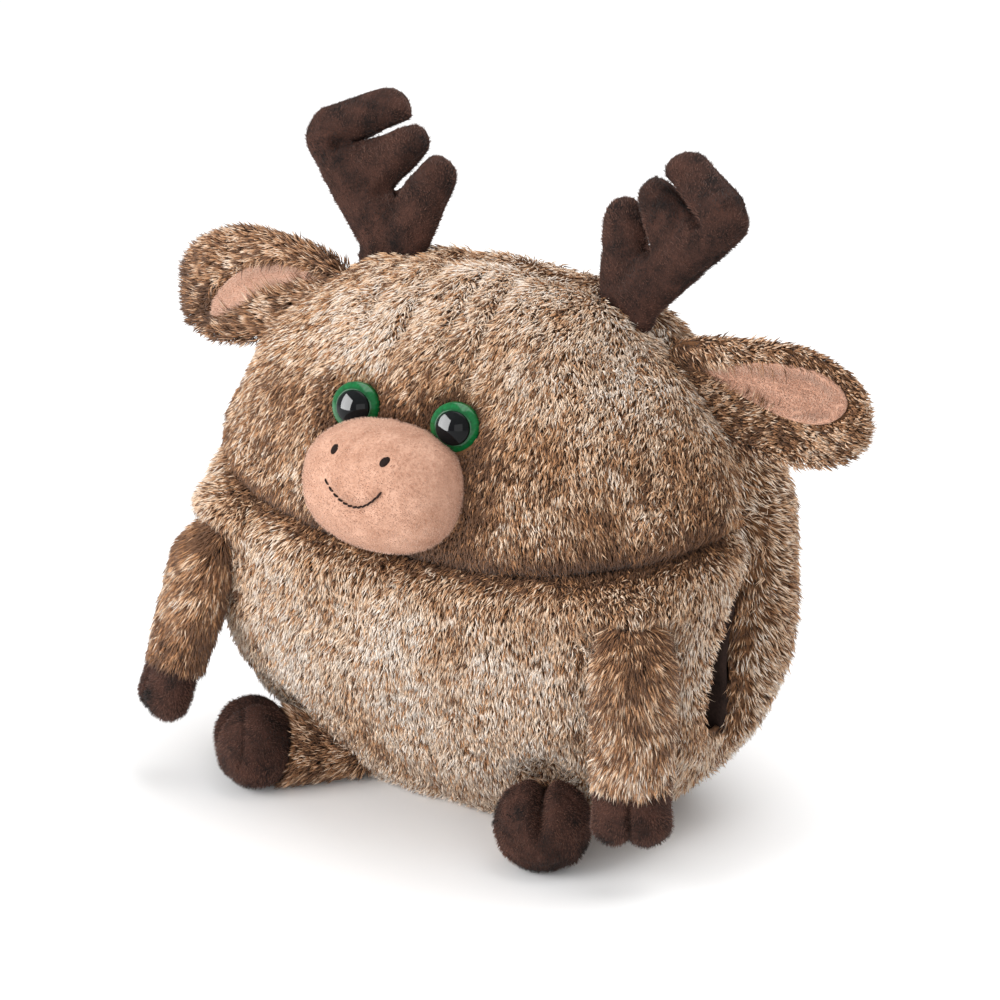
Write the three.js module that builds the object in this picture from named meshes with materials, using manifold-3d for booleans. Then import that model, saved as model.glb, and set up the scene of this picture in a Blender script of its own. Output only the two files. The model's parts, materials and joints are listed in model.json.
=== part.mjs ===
// A round plush deer that is also a hand warmer: a stuffed ball with a tunnel for the hands from side to side.
// Millimetres, +Z up. The toy faces -Y and its left hand is on +X. Z is 0 on the surface that it sits on.
import * as THREE from "three";
import { mergeVertices } from "three/addons/utils/BufferGeometryUtils.js";
import Module from "manifold-3d";

const wasm = await Module();
wasm.setup();

// Fit and cutting
const gap = 0.3; // between pieces that touch
const rootGap = 0.9; // between the round root of an arm or a leg and the room that it turns in
const overrun = 40; // how far a cutter runs past what it cuts
const restDepth = 1.2; // how deep a stuffed foot is flattened by the floor

// Body: a two-panel cushion whose front is divided by a deep crease
const body = {
  halfWidth: 155,
  frontDepth: 102,
  backDepth: 100,
  centreHeight: 131,
  topHeight: 136, // from the centre to the crown
  bottomHeight: 150, // from the centre to where the bottom would reach if it didn't sag flat
  seamY: 4, // plane of the seam between the front panels and the back panel
  cover: 8, // fur fabric, backing and pile
  seamDepth: 4,
  seamSpread: 9,
  around: 30,
  insideAround: 18,
  topFullShare: 2.35, // exponents of the body's curves: 2 is round, more is squarer
  bottomFullShare: 2.5,
  frontFullShare: 2.6,
  browFlatShare: 0.4,
  napeFlatShare: 0.32, // how much shallower the back is at the crown than at the middle
  lapFlatShare: 0.18, // how much shallower the front is at the bottom than at the middle
};

// Crease under the muzzle, which climbs towards the sides
const crease = { height: 143, rise: 22, depth: 9, spread: 9, reach: 55, browDepth: 3, browHeight: 32, browSpread: 30 };

// Hand tunnel: its rear wall lies along the seam plane, and its front wall bows forward
const tunnel = { top: 152, bottom: 48, bow: 26, lowShare: 0.62, pointShare: 1.1, wall: 2, inset: 2, dip: 19, dipHeight: 98, dipSpread: 42,
  dipReach: 22, dipFore: 9 };

// Sides of the head: the seam pulls in between the face and the back
const temple = { depth: 10, height: 170, spread: 32, reach: 15 };

// Muzzle and its stitches
const muzzle = { halfWidth: 41.5, halfHeight: 32, depth: 26.5, y: -93, z: 179, lean: 0.12, fullShare: 2.3 };
const nostril = { x: 14.6, z: 200, halfWidth: 3.1, halfHeight: 2.4, thickness: 1.4 };
const smile = { halfWidth: 16.5, endZ: 188, lowZ: 175.5, radius: 0.9, steps: 12, sides: 6 };

// Safety eyes
const eye = {
  x: 28, z: 208, sunk: 3.6, radius: 12.6, edge: 2, dome: 6.6, pupilRadius: 8, pupilRise: 0.9, pupilSeat: 1.6,
  shankRadius: 2.6, shankLength: 15, washerRadius: 10, washerThickness: 2, washerDepth: 6.4, segments: 18,
};
const eyeAxes = {
  left: new THREE.Vector3(0.12, -0.93, 0.35).normalize(),
  right: new THREE.Vector3(0.02, -0.93, 0.36).normalize(),
};

// Ears: a thick leaf with a cupped front, sewn in the seam along a slanting root line
const ear = {
  rootX: 113, rootZ: 223, rootHalf: 27, rootRadius: 8, rootSlope: -0.97, length: 90, buried: 26, halfWidth: 32, thickness: 9,
  fullShare: 2.5, cupLength: 38, cupWidth: 14.5, cupDepth: 11, cupShare: 0.42, lining: 2.4, clear: 5, back: 0.02, droop: -0.06,
};

// Antlers: a palm with three stuffed tines, leaning back from the seam. Places are along and up the palm.
const antler = {
  x: 67.7, y: 4, z: 256.5, rootHalf: 19, rootRadius: 8, tilt: -0.16, lean: 0.4, flatShare: 0.74, slit: 1.6, clear: 3.5,
  beam: { from: [6, 9], to: [45.5, 45.5], radii: [13.5, 13.5] },
  lowTine: { from: [-4, 9], to: [-12, 36.5], radii: [13.5, 11] },
  midTine: { from: [25, 27], to: [6.5, 48.5], radii: [14.5, 12.2] },
  topTine: { from: [45.5, 48], to: [21.5, 64.5], radii: [13.5, 12] },
  slits: [{ from: [8, 61], to: [34, 45] }, { from: [-10, 52], to: [6, 29] }],
};

// Arms: flat stuffed sleeves that hang from a short level seam
const arm = {
  x: { left: 128, right: 119 }, y: -76, z: 125.5, normalX: 0.58, rootRadius: 14, widthShare: 1.5, sleeve: 70, midRadius: 15, cuffRadius: 14.2,
  hoof: 34, hoofRadius: 13, cleft: 3, cleftDepth: 15, spread: { left: 1, right: 17 },
};

// Legs: they lie on the floor, thin at the root and thick at the hoof
const leg = {
  x: 62.9, y: -48.4, z: 13, hoofX: { left: 80, right: 92 }, hoofY: -80, rootRadius: 12, sleeve: 25, cuffRadius: 18.5, hoof: 43,
  hoofRadius: 23.2, cleft: 3.4, cleftDepth: 20, clearLift: 12.6,
};

const shapes = { round: 16, limbSides: 16, sausageSides: 10, sausageRings: 3, rootAround: 18, rootRings: 9 };

const colours = {
  fur: 0xb59676, belly: 0xbfa283, back: 0xab8a69, peach: 0xe3ab8b, brown: 0x3a2822, thread: 0x2c1d19,
  green: 0x0f8a47, black: 0x0a0a0c, white: 0xe9e6e0, lining: 0x2b1f1c,
};

// A named mesh with its own material.
function piece(name, geometry, colour, roughness = 0.95, metalness = 0) {
  const mesh = new THREE.Mesh(geometry, new THREE.MeshStandardMaterial({ color: colour, roughness, metalness }));
  mesh.name = name;
  return mesh;
}

// A closed geometry as a solid that can be joined and cut.
function solid(geometry) {
  const bare = geometry.clone();
  bare.deleteAttribute("normal");
  bare.deleteAttribute("uv");
  const merged = mergeVertices(bare, gap / 1000);
  const vertProperties = new Float32Array(merged.attributes.position.array);
  const triVerts = new Uint32Array(merged.index.array);
  return new wasm.Manifold(new wasm.Mesh({ numProp: 3, vertProperties, triVerts }));
}

function geometryOf(cut) {
  const mesh = cut.getMesh();
  const geometry = new THREE.BufferGeometry();
  geometry.setAttribute("position", new THREE.BufferAttribute(mesh.vertProperties, 3));
  geometry.setIndex(new THREE.BufferAttribute(mesh.triVerts, 1));
  geometry.computeVertexNormals();
  return geometry;
}

// A closed surface of rings between a bottom and a top point; pointAt(turn, ring) gives each ring's points.
function ringed(around, rings, pointAt, bottom, top) {
  const points = [bottom];
  for (let r = 0; r < rings; r++)
    for (let k = 0; k < around; k++) points.push(pointAt((2 * Math.PI * k) / around, r));
  points.push(top);
  const last = points.length - 1;
  const at = (r, k) => 1 + r * around + (k % around);
  const faces = [];
  for (let k = 0; k < around; k++) {
    faces.push(0, at(0, k + 1), at(0, k));
    faces.push(last, at(rings - 1, k), at(rings - 1, k + 1));
    for (let r = 0; r < rings - 1; r++) {
      faces.push(at(r, k), at(r, k + 1), at(r + 1, k + 1));
      faces.push(at(r, k), at(r + 1, k + 1), at(r + 1, k));
    }
  }
  const geometry = new THREE.BufferGeometry().setFromPoints(points);
  geometry.setIndex(faces);
  return geometry;
}

// An ellipsoid with its half sizes along three axes.
function ellipsoid(halfX, halfY, halfZ, around = shapes.round, rings = shapes.round / 2 - 1) {
  const pointAt = (turn, r) => {
    const rise = (Math.PI * (r + 1)) / (rings + 1) - Math.PI / 2;
    return new THREE.Vector3(
      halfX * Math.cos(rise) * Math.cos(turn),
      halfY * Math.cos(rise) * Math.sin(turn),
      halfZ * Math.sin(rise),
    );
  };
  return ringed(around, rings, pointAt, new THREE.Vector3(0, 0, -halfZ), new THREE.Vector3(0, 0, halfZ));
}

// A geometry moved so that its own axes lie along the given ones and its origin at the given point.
function placed(geometry, origin, xAxis, yAxis, zAxis) {
  const matrix = new THREE.Matrix4().makeBasis(xAxis, yAxis, zAxis).setPosition(origin);
  return geometry.clone().applyMatrix4(matrix);
}

// Three square axes from the one along and one roughly across.
function frameAlong(along, across) {
  const z = along.clone().normalize();
  const y = new THREE.Vector3().crossVectors(z, across).normalize();
  return { x: new THREE.Vector3().crossVectors(y, z), y, z };
}

const bell = (distance, spread) => Math.exp(-((distance / spread) ** 2));

// The body's surface, a named depth under the pile: heights of its rings, then each ring's points.
const lowRingShares = [0, 0.05, 0.16, 0.33, 0.54, 0.74, 0.87, 0.94, 1];
const highRingShares = [0.055, 0.13, 0.28, 0.46, 0.64, 0.8, 0.91, 0.98];

function bodyPoint(turn, height, inset) {
  const across = Math.cos(turn);
  const fore = Math.sin(turn);
  const rise = crease.rise * across ** 2 * bell(height - crease.height, crease.reach);
  const z = height + rise - body.centreHeight;
  const above = z > 0;
  const half = above ? body.topHeight : body.bottomHeight;
  const full = above ? body.topFullShare : body.bottomFullShare;
  const level = Math.min(1, Math.abs(z) / half);
  const reach = Math.sqrt(Math.max(0, 1 - level ** full));
  const brow = above ? level : 0;
  const lap = above ? 0 : level;
  const isFront = fore < 0;
  const corner = isFront ? body.frontFullShare - body.browFlatShare * brow : 2;
  const round = (Math.abs(across) ** corner + Math.abs(fore) ** corner) ** (-1 / corner);
  const depth = isFront ? body.frontDepth * (1 - body.lapFlatShare * lap ** 2)
    : body.backDepth * (1 - body.napeFlatShare * brow ** 1.5);
  const point = new THREE.Vector3(body.halfWidth * across * round * reach, depth * fore * round * reach, z);
  const fade = THREE.MathUtils.clamp(-5 * fore, 0, 1);
  const fromCrease = height - crease.height;
  let cut = crease.depth * bell(fromCrease, crease.spread) * fade;
  cut += crease.browDepth * bell(fromCrease - crease.browHeight, crease.browSpread) * fade * Math.abs(across);
  cut += body.seamDepth * bell(point.y, body.seamSpread);
  cut += tunnel.dip * bell(point.y + tunnel.dipFore, tunnel.dipReach) * bell(height + rise - tunnel.dipHeight, tunnel.dipSpread);
  cut += temple.depth * bell(point.y, temple.reach) * bell(height + rise - temple.height, temple.spread);
  point.addScaledVector(point.clone().normalize(), -(cut + inset));
  point.y += body.seamY;
  point.z = Math.max(point.z + body.centreHeight, Math.max(inset, 0));
  return point;
}

const crown = body.centreHeight + body.topHeight;
const ringHeights = [
  ...lowRingShares.map((share) => share * crease.height),
  ...highRingShares.map((share) => crease.height + share * (crown - crease.height)),
];

function bodySolid(inset, around) {
  const floor = Math.max(inset, 0);
  const pointAt = (turn, r) => bodyPoint(turn, ringHeights[r], inset);
  const bottom = new THREE.Vector3(0, body.seamY, floor);
  const top = new THREE.Vector3(0, body.seamY, crown - body.seamDepth - inset);
  return solid(ringed(around, ringHeights.length, pointAt, bottom, top));
}

// A block between two corners.
function block(low, high) {
  const size = new THREE.Vector3().subVectors(high, low);
  const centre = new THREE.Vector3().addVectors(low, high).multiplyScalar(0.5);
  const geometry = new THREE.BoxGeometry(size.x, size.y, size.z);
  return solid(geometry.translate(centre.x, centre.y, centre.z));
}

const edge = body.halfWidth + overrun;
const frontEdge = -body.frontDepth - 2 * overrun;
const frontSeam = body.seamY - gap / 2;

// The room in front of the seam, above or below the crease.
function frontRoom(isUpper) {
  const offset = isUpper ? gap / 2 : -gap / 2;
  const outline = new THREE.Shape();
  const farZ = isUpper ? crown + overrun : -overrun;
  const steps = shapes.round;
  outline.moveTo(-edge, farZ);
  for (let i = 0; i <= steps; i++) {
    const x = edge * ((2 * i) / steps - 1);
    outline.lineTo(x, crease.height + crease.rise * (x / body.halfWidth) ** 2 + offset);
  }
  outline.lineTo(edge, farZ);
  const depth = frontSeam - frontEdge;
  const geometry = new THREE.ExtrudeGeometry(outline, { depth, bevelEnabled: false });
  geometry.rotateX(Math.PI / 2).translate(0, frontSeam, 0);
  return solid(geometry);
}

const frontHalf = block(new THREE.Vector3(-edge, frontEdge, -overrun), new THREE.Vector3(edge, frontSeam, crown + overrun));
const backHalf = block(
  new THREE.Vector3(-edge, body.seamY + gap / 2, -overrun),
  new THREE.Vector3(edge, body.backDepth + 2 * overrun, crown + overrun),
);

// The tunnel's section, straight at the back and bowed at the front, swept from side to side.
function tunnelSolid(grow) {
  const height = tunnel.top - tunnel.bottom;
  const rear = frontSeam - gap / 2 + Math.min(0, grow);
  const wall = (share) => new THREE.Vector2(
    tunnel.bottom + height * share,
    frontSeam - gap / 2 - tunnel.bow * Math.sin(Math.PI * share ** tunnel.lowShare) ** tunnel.pointShare,
  );
  const step = 1 / shapes.round;
  const front = [];
  for (let share = step / 2; share < 1; share += step / 2) {
    const along = wall(share + step / 4).sub(wall(share - step / 4)).normalize();
    const at = wall(share).add(new THREE.Vector2(along.y, -along.x).multiplyScalar(grow));
    if (at.y < rear - gap && (!front.length || at.x > front.at(-1).x)) front.push(at);
  }
  const past = Math.max(0, grow) + gap;
  const outline = new THREE.Shape();
  outline.moveTo(front[0].x - past, rear);
  front.forEach((at) => outline.lineTo(at.x, at.y));
  outline.lineTo(front.at(-1).x + past, rear);
  const geometry = new THREE.ExtrudeGeometry(outline, { depth: 2 * edge, bevelEnabled: false });
  const axes = [new THREE.Vector3(0, 0, 1), new THREE.Vector3(0, 1, 0), new THREE.Vector3(-1, 0, 0)];
  return solid(placed(geometry, new THREE.Vector3(edge, 0, 0), ...axes));
}

// The front surface of the body at a place on the face.
function faceY(x, z) {
  let best = null;
  for (let i = 0; i <= 400; i++) {
    const point = bodyPoint(-Math.PI * (i / 400), z, 0);
    const miss = Math.abs(point.x - x);
    if (!best || miss < best.miss) best = { miss, y: point.y };
  }
  return best.y;
}

const side = { left: 1, right: -1 };
const sides = Object.keys(side);
const xAxis = new THREE.Vector3(1, 0, 0);
const yAxis = new THREE.Vector3(0, 1, 0);
const zAxis = new THREE.Vector3(0, 0, 1);

// Muzzle surface: a full cushion that leans a little forward at the top.
function muzzlePoint(turn, rise, grow) {
  const fullness = muzzle.fullShare;
  const c = Math.cos(rise);
  const power = (v) => Math.sign(v) * Math.abs(v) ** (2 / fullness);
  const x = (muzzle.halfWidth + grow) * power(c * Math.cos(turn));
  const z = (muzzle.halfHeight + grow) * power(Math.sin(rise));
  const y = (muzzle.depth + grow) * power(c * Math.sin(turn));
  return new THREE.Vector3(x, muzzle.y + y - muzzle.lean * z, muzzle.z + z);
}

function muzzleGeometry() {
  const rings = shapes.round / 2;
  const pointAt = (turn, r) => muzzlePoint(turn, (Math.PI * (r + 1)) / (rings + 1) - Math.PI / 2, 0);
  return ringed(shapes.round + 4, rings, pointAt, muzzlePoint(0, -Math.PI / 2, 0), muzzlePoint(0, Math.PI / 2, 0));
}

// The muzzle's front at a place seen from the front.
function muzzleY(x, z) {
  const full = muzzle.fullShare;
  const left = 1 - Math.abs(x / muzzle.halfWidth) ** full - Math.abs((z - muzzle.z) / muzzle.halfHeight) ** full;
  return muzzle.y - muzzle.depth * Math.max(0, left) ** (1 / full) - muzzle.lean * (z - muzzle.z);
}

function nostrilGeometry(which, grow) {
  const x = side[which] * nostril.x;
  const shape = ellipsoid(nostril.halfWidth + grow, nostril.thickness + grow, nostril.halfHeight + grow, 10, 4);
  return shape.translate(x, muzzleY(x, nostril.z), nostril.z);
}

// The smile: a thread along a curve on the muzzle.
function smileGeometry(grow) {
  const points = [];
  for (let i = 0; i <= smile.steps; i++) {
    const share = (2 * i) / smile.steps - 1;
    const x = smile.halfWidth * share;
    const z = smile.lowZ + (smile.endZ - smile.lowZ) * share ** 2;
    points.push(new THREE.Vector3(x, muzzleY(x, z), z));
  }
  const section = new THREE.Shape();
  section.absarc(0, 0, smile.radius + grow, 0, 2 * Math.PI);
  const path = new THREE.CatmullRomCurve3(points);
  const options = { steps: smile.steps, curveSegments: smile.sides / 2, bevelEnabled: false, extrudePath: path };
  return new THREE.ExtrudeGeometry(section, options);
}

// Eye parts are turned about the eye's axis; height 0 is the back of the coloured dome.
function turned(profile, segments) {
  const points = profile.map(([radius, height]) => new THREE.Vector2(radius, height));
  return new THREE.LatheGeometry(points, segments).rotateX(Math.PI / 2);
}

const domeHeight = (radius) => {
  const ball = (eye.radius ** 2 + eye.dome ** 2) / (2 * eye.dome);
  return eye.edge + Math.sqrt(ball ** 2 - radius ** 2) - (ball - eye.dome);
};

function domeArc(outer, inner, steps) {
  const arc = [];
  for (let i = 0; i <= steps; i++) {
    const radius = outer + ((inner - outer) * i) / steps;
    arc.push([radius, domeHeight(radius)]);
  }
  return arc;
}

function eyeRim() {
  const hole = eye.pupilRadius + gap;
  const seat = domeHeight(hole) - eye.pupilSeat;
  return turned([[0, -eye.shankLength], [eye.shankRadius, -eye.shankLength], [eye.shankRadius, 0], [eye.radius, 0],
    ...domeArc(eye.radius, hole, 4), [hole, seat], [0, seat]], eye.segments);
}

function eyePupil() {
  const seat = domeHeight(eye.pupilRadius + gap) - eye.pupilSeat + gap;
  const arc = domeArc(eye.pupilRadius, 0, 5);
  const raised = arc.map(([radius, height]) =>
    [radius, height + eye.pupilRise * Math.cos((radius / eye.pupilRadius) * (Math.PI / 2))]);
  return turned([[0, seat], [eye.pupilRadius, seat], ...raised], eye.segments);
}

function eyeWasher() {
  const top = -eye.washerDepth;
  const hole = eye.shankRadius + gap;
  return turned([[hole, top - eye.washerThickness], [eye.washerRadius, top - eye.washerThickness],
    [eye.washerRadius, top], [hole, top], [hole, top - eye.washerThickness]], eye.segments);
}

// The room that an eye takes in the face: dome seat, shank hole and washer pocket.
function eyeRoom() {
  const hole = eye.shankRadius + gap;
  const pocket = eye.washerRadius + gap;
  const deep = -eye.shankLength - gap;
  return turned([[0, deep], [pocket, deep], [pocket, gap - eye.washerDepth], [hole, gap - eye.washerDepth],
    [hole, -gap], [eye.radius + gap, -gap], [eye.radius + gap, overrun], [0, overrun]], eye.segments);
}

function eyePlace(which) {
  const x = side[which] * eye.x;
  const axes = frameAlong(eyeAxes[which], xAxis);
  const origin = new THREE.Vector3(x, faceY(x, eye.z), eye.z).addScaledVector(axes.z, -eye.sunk);
  return { origin, axes };
}

const atEye = (geometry, which) => {
  const { origin, axes } = eyePlace(which);
  return placed(geometry, origin, axes.x, axes.y, axes.z);
};

// Ears are built on the toy's left and mirrored.
const earRoot = new THREE.Vector3(ear.rootX, body.seamY, ear.rootZ);
const earRootLine = new THREE.Vector3(1, 0, ear.rootSlope).normalize();
const earAxis = new THREE.Vector3(1, ear.back, ear.droop).normalize();
const earFrame = (() => {
  const front = new THREE.Vector3().crossVectors(zAxis, earAxis).normalize(); // points back, +Y
  const top = new THREE.Vector3().crossVectors(earAxis, front).normalize();
  return { along: earAxis, back: front, up: top };
})();

function earRootGeometry(grow) {
  const line = frameAlong(earRootLine, yAxis);
  const shape = ellipsoid(ear.rootRadius + grow, ear.rootRadius + grow, ear.rootHalf + grow, 12, 5);
  return placed(shape, earRoot, line.x, line.y, line.z);
}

function earLeaf() {
  const half = (ear.length + ear.buried) / 2;
  const rings = 7;
  const full = ear.fullShare;
  const pointAt = (turn, r) => {
    const rise = -Math.cos((Math.PI * (r + 1)) / (rings + 1));
    const wide = (1 - Math.abs(rise) ** full) ** (1 / full);
    return new THREE.Vector3(ear.thickness * wide * Math.cos(turn), ear.halfWidth * wide * Math.sin(turn),
      half + half * rise - ear.buried);
  };
  const leaf = ringed(12, rings, pointAt, new THREE.Vector3(0, 0, -ear.buried), new THREE.Vector3(0, 0, ear.length));
  return placed(leaf, earRoot, earFrame.back, earFrame.up, earFrame.along);
}

function earCup(shrink) {
  const shape = ellipsoid(ear.cupDepth - shrink, ear.cupWidth - shrink, ear.cupLength - shrink, 12, 7);
  const origin = earRoot.clone().addScaledVector(earFrame.along, ear.length * ear.cupShare)
    .addScaledVector(earFrame.back, -ear.thickness);
  return solid(placed(shape, origin, earFrame.back, earFrame.up, earFrame.along));
}

const mirrored = (geometry) => geometry.clone().applyMatrix4(new THREE.Matrix4().makeScale(-1, 1, 1));

function mirrorSolid(shape) {
  const geometry = mirrored(geometryOf(shape));
  const index = geometry.index.array;
  for (let i = 0; i < index.length; i += 3) [index[i + 1], index[i + 2]] = [index[i + 2], index[i + 1]];
  return solid(geometry);
}

// A stuffed antler of sausages that swell and taper, flat in the palm.
const antlerOrigin = new THREE.Vector3(antler.x, antler.y, antler.z);
const antlerFrame = (() => {
  const up = new THREE.Vector3(0, antler.lean, 1).normalize();
  const out = new THREE.Vector3(1, antler.tilt, 0).projectOnPlane(up).normalize();
  return { out, up, back: new THREE.Vector3().crossVectors(up, out) };
})();

function antlerPoint([out, up]) {
  return antlerOrigin.clone().addScaledVector(antlerFrame.out, out).addScaledVector(antlerFrame.up, up);
}

function sausage({ from, to, radii }) {
  const start = antlerPoint(from);
  const end = antlerPoint(to);
  const length = start.distanceTo(end);
  const axes = frameAlong(end.clone().sub(start), antlerFrame.back);
  const caps = shapes.sausageRings;
  const count = 2 * caps;
  const pointAt = (turn, r) => {
    const low = r < caps;
    const cap = low ? r + 1 : r - caps;
    const angle = (Math.PI / 2) * (cap / caps);
    const radius = (low ? radii[0] * Math.sin(angle) : radii[1] * Math.cos(angle));
    const height = low ? -radii[0] * Math.cos(angle) : length + radii[1] * Math.sin(angle);
    return new THREE.Vector3(antler.flatShare * radius * Math.cos(turn), radius * Math.sin(turn), height);
  };
  const shape = ringed(shapes.sausageSides, count, pointAt, new THREE.Vector3(0, 0, -radii[0]),
    new THREE.Vector3(0, 0, length + radii[1]));
  return solid(placed(shape, start, axes.x, axes.y, axes.z));
}

function slitCutter({ from, to }) {
  const start = antlerPoint(from);
  const end = antlerPoint(to);
  const length = start.distanceTo(end);
  const axes = frameAlong(end.clone().sub(start), antlerFrame.back);
  const geometry = new THREE.BoxGeometry(overrun, antler.slit, length).translate(0, 0, length / 2);
  return solid(placed(geometry, start, axes.x, axes.y, axes.z));
}

function antlerRootGeometry(grow) {
  const shape = ellipsoid(antler.rootRadius + grow, antler.rootRadius + grow, antler.rootHalf + grow, 12, 5);
  return placed(shape, antlerOrigin, antlerFrame.back, antlerFrame.up, antlerFrame.out);
}

// Arms hang along -Z of their own frame, wide along the seam that they swing about.
function armFrame(which) {
  const out = new THREE.Vector3(side[which] * arm.normalX, -Math.sqrt(1 - arm.normalX ** 2), 0);
  const hinge = new THREE.Vector3(-out.y, out.x, 0).multiplyScalar(side[which]);
  const turn = THREE.MathUtils.degToRad(arm.spread[which]);
  const down = new THREE.Vector3(0, 0, -Math.cos(turn)).addScaledVector(out, Math.sin(turn));
  const up = down.clone().negate();
  return { origin: new THREE.Vector3(side[which] * arm.x[which], arm.y, arm.z), hinge, up,
    out: new THREE.Vector3().crossVectors(up, hinge) };
}

function atArm(geometry, which) {
  const frame = armFrame(which);
  return solid(placed(geometry, frame.origin, frame.hinge, frame.out, frame.up));
}

// A turned limb, from its end profile and with a share that widens it along one axis.
function limb(profile, share) {
  return turned(profile, shapes.limbSides).scale(share, 1, 1);
}

function roundEnd(radius, centre, from, to, steps) {
  const arc = [];
  for (let i = 0; i <= steps; i++) {
    const angle = from + ((to - from) * i) / steps;
    arc.push([Math.max(0, radius * Math.cos(angle)), centre + radius * Math.sin(angle)]);
  }
  return arc;
}

const quarter = Math.PI / 2;

function armSleeve() {
  const low = -arm.sleeve;
  return limb([[0, low], [arm.cuffRadius, low], [arm.midRadius, low / 2], ...roundEnd(arm.rootRadius, 0, 0, quarter, 5)],
    arm.widthShare);
}

function hoofCleft(width, depth, reach, tip) {
  return ellipsoid(width / 2, reach, depth, 12, 7).translate(0, 0, tip);
}

function armHoof() {
  const top = -arm.sleeve - gap;
  const tip = top - arm.hoof;
  const middle = tip + arm.hoofRadius;
  const profile = [...roundEnd(arm.hoofRadius, middle, -quarter, 0, 4), [arm.hoofRadius, top - gap], [arm.cuffRadius - 1, top],
    [0, top]];
  return solid(limb(profile, arm.widthShare)).subtract(
    solid(hoofCleft(arm.cleft, arm.cleftDepth, arm.hoofRadius + overrun / 4, tip)));
}

// Legs point out along +Z of their own frame.
function legFrame(which) {
  const origin = new THREE.Vector3(side[which] * leg.x, leg.y, leg.z);
  const hoof = new THREE.Vector3(side[which] * leg.hoofX[which], leg.hoofY, leg.hoofRadius - restDepth);
  const axes = frameAlong(hoof.clone().sub(origin), zAxis);
  return { origin, axes, hoofAt: hoof.distanceTo(origin) };
}

function atLeg(geometry, which) {
  const { origin, axes } = legFrame(which);
  return placed(geometry, origin, axes.x, axes.y, axes.z);
}

function legSleeve() {
  return limb([...roundEnd(leg.rootRadius, 0, -quarter, 0, 5), [leg.cuffRadius, leg.sleeve], [0, leg.sleeve]], 1);
}

function legHoof(which) {
  const low = leg.sleeve + gap;
  const middle = legFrame(which).hoofAt;
  const tip = middle + leg.hoofRadius;
  const start = Math.asin((low - middle) / leg.hoofRadius);
  const ball = limb([[0, low], ...roundEnd(leg.hoofRadius, middle, start, quarter, 7)], 1);
  const shape = solid(atLeg(ball, which));
  return shape.subtract(solid(atLeg(hoofCleft(leg.cleft, leg.cleftDepth, leg.hoofRadius + gap, tip).rotateZ(quarter), which)));
}

// What the body takes from a leg that swings up about its root, apart from the round root itself.
function legSweep(which) {
  const { origin, axes } = legFrame(which);
  const hinge = new THREE.Vector3(axes.z.x, axes.z.y, 0).cross(zAxis).normalize();
  const rootBall = ellipsoid(leg.rootRadius, leg.rootRadius, leg.rootRadius, shapes.rootAround, shapes.rootRings);
  const root = solid(atLeg(rootBall, which));
  const turns = [0, 1].map((share) => {
    const turn = new THREE.Matrix4().makeRotationAxis(hinge, -THREE.MathUtils.degToRad(leg.clearLift * share));
    const matrix = new THREE.Matrix4().makeTranslation(origin).multiply(turn)
      .multiply(new THREE.Matrix4().makeTranslation(origin.clone().negate()));
    return geometryOf(around).applyMatrix4(matrix);
  });
  return turns.map(solid).reduce((joined, next) => joined.add(next)).subtract(root);
}

const belowFloor = block(new THREE.Vector3(-2 * edge, 2 * frontEdge, -2 * overrun), new THREE.Vector3(2 * edge, edge, 0));

// Rooms that the body keeps for its limbs, ears and antlers.
const limbRooms = [];
for (const which of sides) {
  const frame = armFrame(which);
  const armRoom = arm.rootRadius + rootGap;
  const armRoot = ellipsoid(armRoom * arm.widthShare, armRoom, armRoom, shapes.rootAround, shapes.rootRings);
  limbRooms.push(solid(placed(armRoot, frame.origin, frame.hinge, frame.out, frame.up)));
  const legRoom = leg.rootRadius + rootGap;
  limbRooms.push(solid(atLeg(ellipsoid(legRoom, legRoom, legRoom, shapes.rootAround, shapes.rootRings), which)));
}
const earRoom = solid(earRootGeometry(gap));
const antlerRoom = solid(antlerRootGeometry(gap));
limbRooms.push(earRoom, mirrorSolid(earRoom), antlerRoom, mirrorSolid(antlerRoom));

const eyeRooms = sides.map((which) => solid(atEye(eyeRoom(), which)));
const cutAll = (shape, cutters) => cutters.reduce((left, cutter) => left.subtract(cutter), shape);

const outside = bodySolid(0, body.around);
const inside = bodySolid(body.cover, body.insideAround);
const core = bodySolid(body.cover + gap, body.insideAround);
const around = bodySolid(-gap, body.around);
const skin = outside.subtract(inside);
const tunnelRoom = tunnelSolid(gap);

const toy = new THREE.Group();

toy.add(piece("face_cover", geometryOf(cutAll(skin.intersect(frontRoom(true)), [...limbRooms, ...eyeRooms])), colours.fur));
toy.add(piece("belly_cover", geometryOf(cutAll(skin.intersect(frontRoom(false)), [...limbRooms, tunnelRoom])), colours.belly));
toy.add(piece("back_cover", geometryOf(cutAll(skin.intersect(backHalf), limbRooms)), colours.back));
toy.add(piece("front_filling", geometryOf(cutAll(core.intersect(frontHalf), [...limbRooms, ...eyeRooms, tunnelRoom])),
  colours.white));
toy.add(piece("rear_filling", geometryOf(cutAll(core.intersect(backHalf), limbRooms)), colours.white));

const lining = tunnelSolid(0).subtract(tunnelSolid(-tunnel.wall)).intersect(bodySolid(tunnel.inset, body.insideAround));
toy.add(piece("hand_tunnel_lining", geometryOf(lining), colours.lining));

const stitches = [...sides.map((which) => solid(nostrilGeometry(which, gap))), solid(smileGeometry(gap))];
const muzzleSolid = cutAll(solid(muzzleGeometry()), [around, ...eyeRooms, ...stitches]);
toy.add(piece("muzzle", geometryOf(muzzleSolid), colours.peach));
toy.add(piece("smile_stitch", smileGeometry(0), colours.thread));

for (const which of sides) {
  toy.add(piece(which + "_nostril", nostrilGeometry(which, 0), colours.thread));
  toy.add(piece(which + "_eye_rim", atEye(eyeRim(), which), colours.green, 0.2));
  toy.add(piece(which + "_eye_pupil", atEye(eyePupil(), which), colours.black, 0.1));
  toy.add(piece(which + "_eye_washer", atEye(eyeWasher(), which), colours.white, 0.5));
}

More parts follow.
